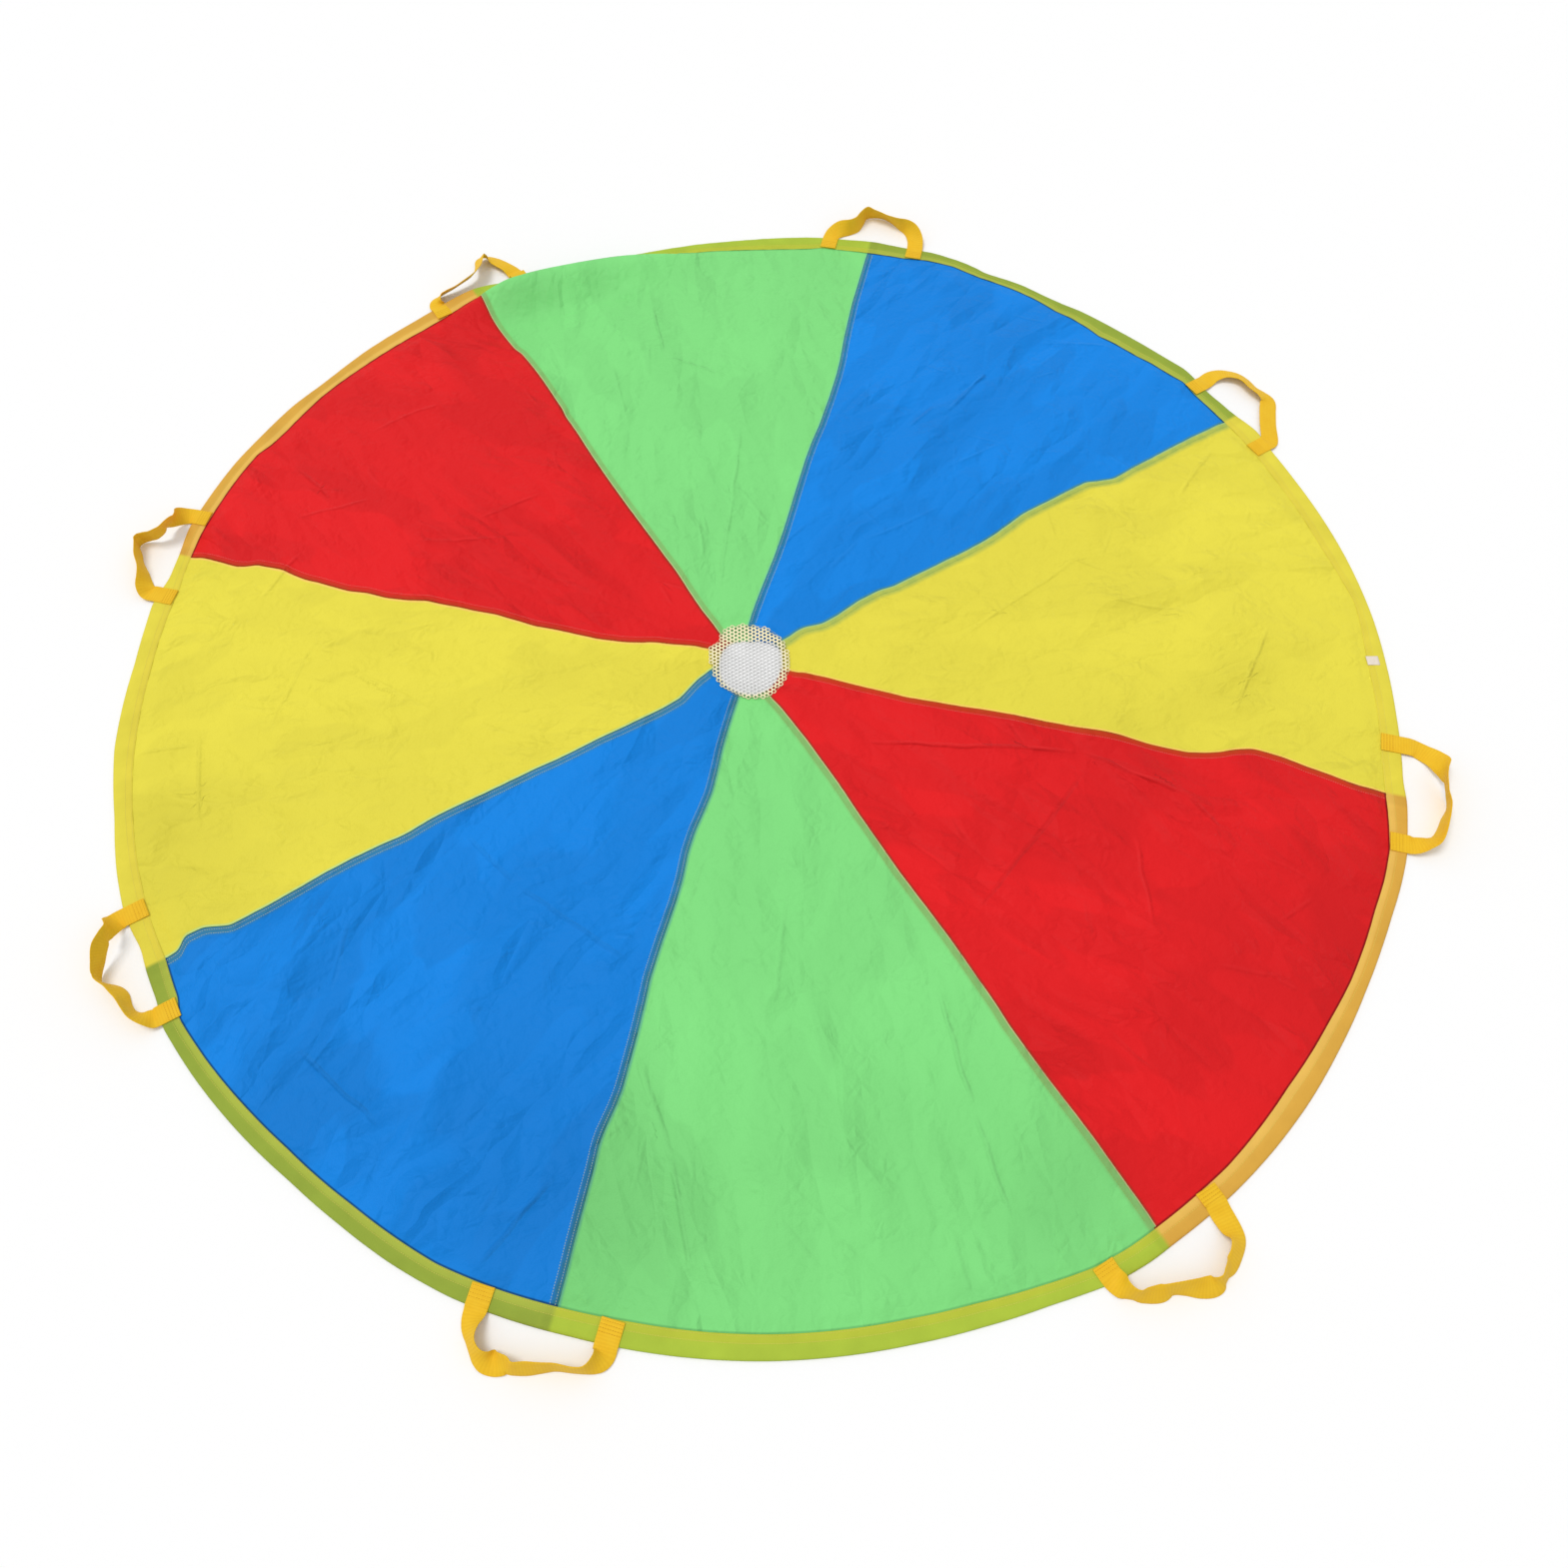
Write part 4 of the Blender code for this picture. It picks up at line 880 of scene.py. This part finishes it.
# Top of the tape: place across from its inner edge (0) to the fold (1), and height in millimetres
TAPE_TOP = (
    (0.00, 2.3), (0.10, 2.45), (0.30, 2.6), (0.34, 2.55), (0.38, 2.7), (0.60, 3.0), (0.85, 3.1),
    (0.95, 2.8),
)


def hem_section():
    """Section of the folded tape: place across from the inner edge (0) to the fold (1), and height."""
    bottom, rim = 0.3 * MM, 1.65 * MM
    return (
        (0.93, 2.05 * MM), (0.00, 2.0 * MM), (-0.01, 2.15 * MM),
        *[(share, level * MM) for share, level in TAPE_TOP],
        (1.00, rim), (0.96, 0.6 * MM), (0.85, bottom), (0.40, bottom),
        (0.00, bottom), (0.00, 0.8 * MM), (0.93, 0.8 * MM),
    )


def hem_ripple(angle):
    """Small waves along the top of the tape."""
    return 0.35 * MM * drift(angle * CANOPY_RADIUS, 0 * angle, 11 * MM, 51)


def hem(material):
    """Tape folded in a U round the gores' edge, pulled in and let out as the cloth lies."""
    turns = 1080
    angle = (np.arange(turns) / turns * math.tau)[:, None]
    section = np.array(hem_section())
    inner, outer = hem_inner(angle), hem_outer(angle)
    radius = inner + (outer - inner) * section[None, :, 0]
    arc = angle * CANOPY_RADIUS
    ripple = hem_ripple(angle) * (section[None, :, 1] > 1.7 * MM)
    height = section[None, :, 1] + edge_lift(angle) + ripple
    x, y = radius * np.cos(angle), radius * np.sin(angle)
    points = np.stack([x, y, height], axis=-1).reshape(-1, 3)
    count = len(section)
    faces = []
    for turn in range(turns):
        here, there = turn * count, (turn + 1) % turns * count
        for corner in range(count):
            following = (corner + 1) % count
            faces.append((here + corner, here + following, there + following, there + corner))
    thing = mesh_from("hem_tape", points, faces, material)
    tints = np.zeros((turns, count, 4))
    for turn in range(turns):
        here = float(angle[turn, 0])
        index = int(here / (math.tau / GORE_COUNT)) % GORE_COUNT
        for seam, step in ((index, -1), (index + 1, 1)):
            past = (here - float(seam_angle(seam, HEM_MIDDLE))) * step
            if past > 0:
                index = (index + step) % GORE_COUNT
        tones = HEM_TINTS[GORE_NAMES[index].split("_")[-1]]
        outer_tint, inner_tint = (np.array(linear(tone)) for tone in tones)
        shade = 1.0
        for seam in range(GORE_COUNT):
            away = (here - float(seam_angle(seam, HEM_MIDDLE)) + math.pi) % math.tau - math.pi
            if 0 < away * lap_side(seam) * HEM_MIDDLE < HEM_LAP_WIDTH:
                shade = HEM_LAP_SHADE
        share = eased((section[:, 0] - 0.26) / 0.16)[:, None]
        tints[turn, :, :3] = (inner_tint * (1 - share) + outer_tint * share) * shade
        tints[turn, :, 3] = 1.0
    set_attribute(thing.data, "tint", "FLOAT_COLOR", tints)
    set_uv(thing.data, np.stack([arc + 0 * height, radius], axis=-1).reshape(-1, 2))
    return thing


def rim_share(x, y):
    """How far a place on the net belongs to its rim, where it is sewn twice over on the gores' tips."""
    tips = around(GORE_TIPS, np.arctan2(y, x), 3.0) * MM
    return eased((np.hypot(x, y) - tips + 4 * MM) / (8 * MM))


def net_wave(x, y):
    """Small waves of the lying net."""
    return 0.9 * MM * drift(x, y, 22 * MM, 71)


def net_disc(material):
    """Net of six-sided cells: each cell is a ring of six strand faces round its opening."""
    height_step = NET_PITCH * math.sqrt(3.0) / 2.0
    cell = NET_PITCH / math.sqrt(3.0)
    points, faces, found = [], [], {}

    def corner(px, py):
        key = (round(px / (0.05 * MM)), round(py / (0.05 * MM)))
        if key not in found:
            found[key] = len(points)
            points.append((px, py))
        return found[key]

    reach = int(NET_REACH / height_step) + 2
    for row in range(-reach, reach + 1):
        for column in range(-reach, reach + 1):
            cx, cy = (column + 0.5 * (row % 2)) * NET_PITCH, row * height_step
            edge = float(around(NET_EDGE, math.atan2(cy, cx))) * MM
            if math.hypot(cx, cy) > edge - cell:
                continue
            rim = float(rim_share(cx, cy))
            hole = cell - 0.5 * (NET_STRAND * (1 - rim) + NET_RIM_STRAND * rim) / math.cos(math.pi / 6)
            spokes = [math.radians(30 + 60 * i) for i in range(6)]
            outer = [corner(cx + cell * math.cos(a), cy + cell * math.sin(a)) for a in spokes]
            inner = [corner(cx + hole * math.cos(a), cy + hole * math.sin(a)) for a in spokes]
            for i in range(6):
                j = (i + 1) % 6
                faces.append((outer[i], outer[j], inner[j], inner[i]))
    flat = np.array(points)
    radius = np.hypot(flat[:, 0], flat[:, 1])
    sag = 1.4 * MM * (1 - eased((radius - 0.03) / (20 * MM)))
    level = NET_LEVEL + net_wave(flat[:, 0], flat[:, 1]) - sag
    thing = mesh_from("net_centre", np.column_stack([flat, level]), faces, material)
    set_attribute(thing.data, "rim", "FLOAT", rim_share(flat[:, 0], flat[:, 1]))
    return made_solid(thing, NET_THICKNESS)


def between(before, start, end, after, share):
    """Smooth value between start and end, on a curve through all four."""
    return 0.5 * (2 * start + (end - before) * share + (2 * before - 5 * start + 4 * end - after) * share ** 2
                  + (3 * start - before - 3 * end + after) * share ** 3)


def handle_frame(handle):
    angle = handle * math.tau / GORE_COUNT + HANDLE_SHIFTS[handle] * HANDLE_SPAN / CANOPY_RADIUS
    out, along = directions(angle)
    reach = math.sqrt(CANOPY_RADIUS ** 2 - (0.5 * (HANDLE_SPAN - WEBBING_WIDTH)) ** 2) + 0.3 * MM
    return out * reach, along, out


def sewn_end(middle, along, side):
    """Where a sewn end leaves the canopy, the angle there, and how far in the end reaches."""
    place = middle + along * side * 0.5 * HANDLE_SPAN
    angle = math.atan2(place[1], place[0])
    return place, angle, max(math.hypot(place[0], place[1]) - float(hem_inner(angle)), 12 * MM)


def strap_path(handle):
    """Places, leans and lengths along a handle's strap: sewn end, free loop, sewn end."""
    middle, along, out = handle_frame(handle)
    start = 0.8 * MM / HANDLE_REACH
    rows = np.array([
        (-1.0, 0.0, 0.0, 0.0), (-1.0, start, 0.0, 0.0), *LOOP_STATIONS[handle],
        (1.0, start, 0.0, 0.0), (1.0, 0.0, 0.0, 0.0),
    ])
    loop = []
    for i in range(len(rows) - 1):
        near = [rows[max(i - 1, 0)], rows[i], rows[i + 1], rows[min(i + 2, len(rows) - 1)]]
        loop += [between(*near, share) for share in np.arange(0.0, 1.0, 0.05)]
    loop.append(rows[-1])
    places, leans = [], []
    for along_share, reach_share, lean_degrees, lift in loop:
        lean = math.radians(lean_degrees)
        stand = 0.5 * WEBBING_WIDTH * abs(math.sin(lean)) + 0.5 * WEBBING_THICKNESS * abs(math.cos(lean))
        level = STRAP_CLEARANCE + stand + max(lift, 0.0) * WEBBING_WIDTH
        level += max(SEWN_LEVEL - level, 0.0) * float(1 - eased(reach_share * HANDLE_REACH / LOOP_DROP))
        place = middle + along * along_share * 0.5 * HANDLE_SPAN + out * reach_share * HANDLE_REACH
        places.append((place[0], place[1], level))
        leans.append(lean)
    places, leans = np.array(places), np.array(leans)
    for side in (-1, 1):
        first, angle, inwards = sewn_end(middle, along, side)
        sewn = np.array([first - out * inwards * share for share in np.linspace(1.0, 0.05, 14)])
        sewn[:, 2] = SEWN_LEVEL + float(edge_lift(angle))
        if side < 0:
            places, leans = np.vstack([sewn, places]), np.concatenate([np.zeros(len(sewn)), leans])
        else:
            places, leans = np.vstack([places, sewn[::-1]]), np.concatenate([leans, np.zeros(len(sewn))])
    steps = np.linalg.norm(np.diff(places, axis=0), axis=1)
    length = np.concatenate([[0.0], np.cumsum(steps)])
    at = np.linspace(0.0, length[-1], int(length[-1] / STRAP_STEP))
    places = np.column_stack([np.interp(at, length, places[:, i]) for i in range(3)])
    return places, np.interp(at, length, leans), at


def strap(handle, material):
    """Webbing swept along its path, with flat faces and rounded edges."""
    places, leans, lengths = strap_path(handle)
    run = np.gradient(places, axis=0)
    run /= np.linalg.norm(run, axis=1)[:, None]
    side = np.cross(run, (0.0, 0.0, 1.0))
    side /= np.linalg.norm(side, axis=1)[:, None]
    upright = np.cross(side, run)
    wide = np.cos(leans)[:, None] * side + np.sin(leans)[:, None] * upright
    thick = np.cross(run, wide)
    half, depth = 0.5 * WEBBING_WIDTH, 0.5 * WEBBING_THICKNESS
    shares = np.array((-1.0, -0.985, -0.93, -0.6, -0.2, 0.2, 0.6, 0.93, 0.985))
    depths = np.array((0.0, 0.6, 1.0, 1.0, 1.0, 1.0, 1.0, 1.0, 0.6))
    ring_across = np.concatenate([shares, -shares]) * half
    ring_depth = np.concatenate([depths, -depths]) * depth
    points = places[:, None, :] + wide[:, None, :] * ring_across[None, :, None]
    points = points + thick[:, None, :] * ring_depth[None, :, None]
    count, stations = len(ring_across), len(places)
    faces = grid_faces(stations, count, closed=True)
    faces.append(tuple(range(count)))
    faces.append(tuple(reversed(range((stations - 1) * count, stations * count))))
    thing = mesh_from(f"webbing_handle_{handle + 1}", points.reshape(-1, 3), faces, material)
    flat = np.stack(np.broadcast_arrays(ring_across[None, :], lengths[:, None]), axis=-1)
    set_uv(thing.data, flat.reshape(-1, 2))
    return thing, float(lengths[-1])


def stitch_tree():
    """Stitches laid end to end along the edges of the mesh it is given."""
    tree = bpy.data.node_groups.new("stitch_rows", "GeometryNodeTree")
    face = tree.interface
    face.new_socket("Geometry", in_out="INPUT", socket_type="NodeSocketGeometry")
    for name in ("Pitch", "Length", "Width"):
        face.new_socket(name, in_out="INPUT", socket_type="NodeSocketFloat")
    face.new_socket("Thread", in_out="INPUT", socket_type="NodeSocketMaterial")
    face.new_socket("Geometry", in_out="OUTPUT", socket_type="NodeSocketGeometry")
    given = add(tree, "NodeGroupInput").outputs
    path = add(tree, "GeometryNodeMeshToCurve", {"Mesh": given["Geometry"]})
    run = {"Curve": path.outputs[0], "Length": given["Pitch"]}
    spaced = add(tree, "GeometryNodeResampleCurve", run, mode="LENGTH")
    tangent = add(tree, "GeometryNodeInputTangent")
    turned = add(tree, "FunctionNodeAlignRotationToVector", {"Vector": tangent.outputs[0]}, axis="X")
    bead = add(tree, "GeometryNodeMeshIcoSphere", {"Radius": 0.5, "Subdivisions": 1})
    size = add(tree, "ShaderNodeCombineXYZ", {"X": given["Length"], "Y": given["Width"], "Z": given["Width"]})
    placed = add(tree, "GeometryNodeInstanceOnPoints", {
        "Points": spaced.outputs[0], "Instance": bead.outputs[0],
        "Rotation": turned.outputs[0], "Scale": size.outputs[0],
    })
    real = add(tree, "GeometryNodeRealizeInstances", {"Geometry": placed.outputs[0]})
    shaded = add(tree, "GeometryNodeSetMaterial", {"Geometry": real.outputs[0], "Material": given["Thread"]})
    add(tree, "NodeGroupOutput", {"Geometry": shaded.outputs[0]})
    return tree


def stitches(name, paths, tree, thread, pitch=STITCH_PITCH, length=STITCH_LENGTH, width=STITCH_WIDTH):
    """Rows of stitches along lines of points, made a plain mesh."""
    points, edges = [], []
    for path in paths:
        edges += [(len(points) + i, len(points) + i + 1) for i in range(len(path) - 1)]
        points += [tuple(p) for p in path]
    mesh = bpy.data.meshes.new(name)
    mesh.from_pydata((np.asarray(points) + MIDDLE).tolist(), edges, [])
    thing = bpy.data.objects.new(name, mesh)
    bpy.context.scene.collection.objects.link(thing)
    rows = thing.modifiers.new("rows", "NODES")
    rows.node_group = tree
    values = {"Pitch": pitch, "Length": length, "Width": width, "Thread": thread}
    for item in tree.interface.items_tree:
        if item.in_out == "INPUT" and item.name in values:
            rows[item.identifier] = values[item.name]
    bpy.context.view_layer.update()
    faces = plain_mesh(thing).data.polygons
    faces.foreach_set("use_smooth", np.ones(len(faces), dtype=bool))
    return thing


def seam_rows(seam):
    """Lines of the stitch rows that show along a seam, on the gore that lies on top."""
    radius = np.arange(0.066, 0.874, 3 * MM)
    lines = []
    for inset in SEAM_STITCH_ROWS[seam % GORE_COUNT]:
        angle = seam_angle(seam, radius) + lap_side(seam) * inset / radius
        x, y = radius * np.cos(angle), radius * np.sin(angle)
        inside = radius < hem_inner(angle) - 1 * MM
        level = cloth_height(x, y) + LAP_RISE * felled(radius)
        level += seam_pucker(radius, seam, inset) + 0.1 * MM
        lines.append(np.column_stack([x, y, level])[inside])
    return lines


def hem_rows():
    """Lines of the hem's stitch rows: at the tape's inner edge, and at the fold inside it."""
    angle = np.arange(0.0, math.tau, 3 * MM / CANOPY_RADIUS)
    lines = []
    for inset in (HEM_STITCH_INSET, HEM_FOLD_INSET):
        radius = hem_inner(angle) + inset
        level = from_table(TAPE_TOP, inset / (hem_outer(angle) - hem_inner(angle))) * MM + 0.05 * MM
        level = level + edge_lift(angle) + hem_ripple(angle)
        line = np.column_stack([radius * np.cos(angle), radius * np.sin(angle), level])
        lines.append(np.vstack([line, line[:1]]))
    return lines


def net_rows():
    """Two lines of stitches that hold the net's rim on the gores' tips."""
    angle = np.linspace(0.0, math.tau, 90)
    lines = []
    for inset in (3 * MM, 6.5 * MM):
        sway = 0.5 * MM * drift(angle * 60 * MM, 0 * angle, 9 * MM, 81)
        wavy = around(NET_EDGE, angle, 4.0) * MM - inset + sway
        x, y = wavy * np.cos(angle), wavy * np.sin(angle)
        lines.append(np.column_stack([x, y, NET_LEVEL + 0.2 * MM + net_wave(x, y)]))
    return lines


def end_rows(handle):
    """Lines of stitches across a handle's two sewn ends."""
    middle, along, out = handle_frame(handle)
    reach = 0.5 * WEBBING_WIDTH - 2 * MM
    lines = []
    for side in (-1, 1):
        first, angle, inwards = sewn_end(middle, along, side)
        level = SEWN_LEVEL + 0.5 * WEBBING_THICKNESS + 0.1 * MM + float(edge_lift(angle))
        for inset in END_STITCH_ROWS:
            if inset > inwards - 1 * MM:
                continue
            centre = first - out * (inwards - inset)
            line = [centre + along * share * reach for share in np.linspace(-1, 1, 9)]
            lines.append([(p[0], p[1], level) for p in line])
    return lines


def label(material):
    """Small blank care label, sewn flat on the hem."""
    out, along = directions(math.radians(LABEL_ANGLE))
    rows, columns = 7, 9
    points = []
    for level in (0.0, LABEL_THICKNESS):
        for row in range(rows):
            for column in range(columns):
                radius = LABEL_RADIUS + (row / (rows - 1) - 0.5) * LABEL_SIZE[0]
                place = out * radius + along * (column / (columns - 1) - 0.5) * LABEL_SIZE[1]
                wave = 0.2 * MM * float(drift(place[0], place[1], 6 * MM, 95))
                points.append(place + (0.0, 0.0, LABEL_LEVEL + level + wave))
    count = rows * columns
    top = [tuple(count + corner for corner in face) for face in grid_faces(rows, columns)]
    bottom = [tuple(reversed(face)) for face in grid_faces(rows, columns)]
    border = [*range(columns), *range(2 * columns - 1, count, columns),
              *range(count - 2, count - columns - 1, -1), *range(count - 2 * columns, 0, -columns)]
    following = border[1:] + border[:1]
    walls = [(here, count + here, count + there, there) for here, there in zip(border, following)]
    return mesh_from("care_label", points, top + bottom + walls, material)


# Floor, light and camera

def studio():
    low, high = -FLOOR_HALF, FLOOR_HALF
    corners = [(low, low, 0.0), (high, low, 0.0), (high, high, 0.0), (low, high, 0.0)]
    mesh = bpy.data.meshes.new("studio_floor")
    mesh.from_pydata(corners, [], [(0, 1, 2, 3)])
    mesh.materials.append(studio_floor("painted_board"))
    floor = bpy.data.objects.new("studio_floor", mesh)
    bpy.context.scene.collection.objects.link(floor)
    world = bpy.data.worlds.new("studio")
    bpy.context.scene.world = world
    world.use_nodes = True
    tree = world.node_tree
    tree.nodes.clear()
    rays = add(tree, "ShaderNodeLightPath").outputs
    both = {0: rays["Is Camera Ray"], 1: rays["Is Glossy Ray"]}
    seen = add(tree, "ShaderNodeMath", both, operation="MAXIMUM").outputs[0]
    sky_range = {"Value": seen, "To Min": SKY_STRENGTH, "To Max": 1.0}
    strength = add(tree, "ShaderNodeMapRange", sky_range).outputs[0]
    sky = add(tree, "ShaderNodeBackground", {"Color": (1.0, 1.0, 1.0, 1.0), "Strength": strength})
    add(tree, "ShaderNodeOutputWorld", {"Surface": sky.outputs[0]})
    lamp = bpy.data.lights.new("soft_overhead", "SUN")
    lamp.energy = SUN_STRENGTH
    lamp.angle = SUN_SPREAD
    sun = bpy.data.objects.new("soft_overhead", lamp)
    sun.rotation_euler = SUN_SIDE.to_track_quat("Z", "Y").to_euler()
    bpy.context.scene.collection.objects.link(sun)


def camera():
    """Camera at the photo's place, from the canopy's outline and seams in it."""
    place = Vector((0.0, -CAMERA_DISTANCE * math.cos(CAMERA_ELEVATION),
                    CAMERA_DISTANCE * math.sin(CAMERA_ELEVATION)))
    ahead = (CAMERA_AIM - place).normalized()
    right = ahead.cross(Vector((0.0, 0.0, 1.0))).normalized()
    up = right.cross(ahead)
    rolled_right = right * math.cos(CAMERA_ROLL) + up * math.sin(CAMERA_ROLL)
    rolled_up = up * math.cos(CAMERA_ROLL) - right * math.sin(CAMERA_ROLL)
    turn = Matrix.Rotation(CAMERA_TURN, 3, "Z")
    axes = Matrix((turn @ rolled_right, turn @ rolled_up, turn @ -ahead)).transposed().to_4x4()
    data = bpy.data.cameras.new("photo_camera")
    data.sensor_width = SENSOR_WIDTH
    data.lens = FOCAL_PIXELS / PHOTO_SIDE * SENSOR_WIDTH
    data.shift_x = (0.5 * PHOTO_SIDE - CENTRE_COLUMN) / PHOTO_SIDE
    data.clip_start = 0.05
    data.clip_end = 50.0
    thing = bpy.data.objects.new("photo_camera", data)
    thing.matrix_world = Matrix.Translation(turn @ place + Vector(MIDDLE)) @ axes
    bpy.context.scene.collection.objects.link(thing)
    bpy.context.scene.camera = thing


# Assembly

cloth_materials = {
    colour: taffeta(f"{colour}_polyester_taffeta", tone, *CLOTH_LOOKS[colour])
    for colour, tone in CLOTH_COLOURS.items()
}
tape = ribbon_tape("yellow_nylon_tape")
webbing = woven_webbing("golden_polypropylene_webbing")
pale_thread = spun_thread("cream_polyester_thread", "#DFE6BC")
seam_threads = {
    "pale": pale_thread,
    "muted": spun_thread("green_polyester_thread", "#A3B95E"),
    "rosy": spun_thread("rose_polyester_thread", "#E58A7C"),
}
tape_thread = spun_thread("yellow_polyester_thread", "#E9DC6A")
end_thread = spun_thread("golden_polyester_thread", "#C98F12")
net_yarn = knitted_net("white_knitted_net")

studio()
camera()

for index, name in enumerate(GORE_NAMES):
    piece = gore(index, cloth_materials)
    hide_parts(name)
    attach(piece, "canopy")

tape_piece = hem(tape)
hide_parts("hem_binding")
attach(tape_piece, "canopy")

net_piece = net_disc(net_yarn)
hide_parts("mesh_centre")
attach(net_piece, "canopy")

label_piece = label(spun_thread("off_white_satin_ribbon", "#F3E6D6", 0.5))
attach(label_piece, "canopy")

stitch_rows = stitch_tree()
for seam in range(GORE_COUNT):
    thread = seam_threads[SEAM_THREADS[seam]]
    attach(stitches(f"seam_stitches_{seam + 1}", seam_rows(seam), stitch_rows, thread), "canopy")
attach(stitches("hem_stitches", hem_rows(), stitch_rows, tape_thread), "canopy")
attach(stitches("net_stitches", net_rows(), stitch_rows, pale_thread), "canopy")

for handle in range(GORE_COUNT):
    piece, length = strap(handle, webbing)
    number = handle + 1
    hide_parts(f"handle_{number}_end_a", f"handle_{number}_end_b", f"handle_{number}_loop")
    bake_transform(piece)
    rows = stitches(f"handle_{number}_stitches", end_rows(handle), stitch_rows, end_thread, *END_STITCH)
    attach(rows, "canopy")

bpy.context.scene.view_settings.view_transform = "Standard"
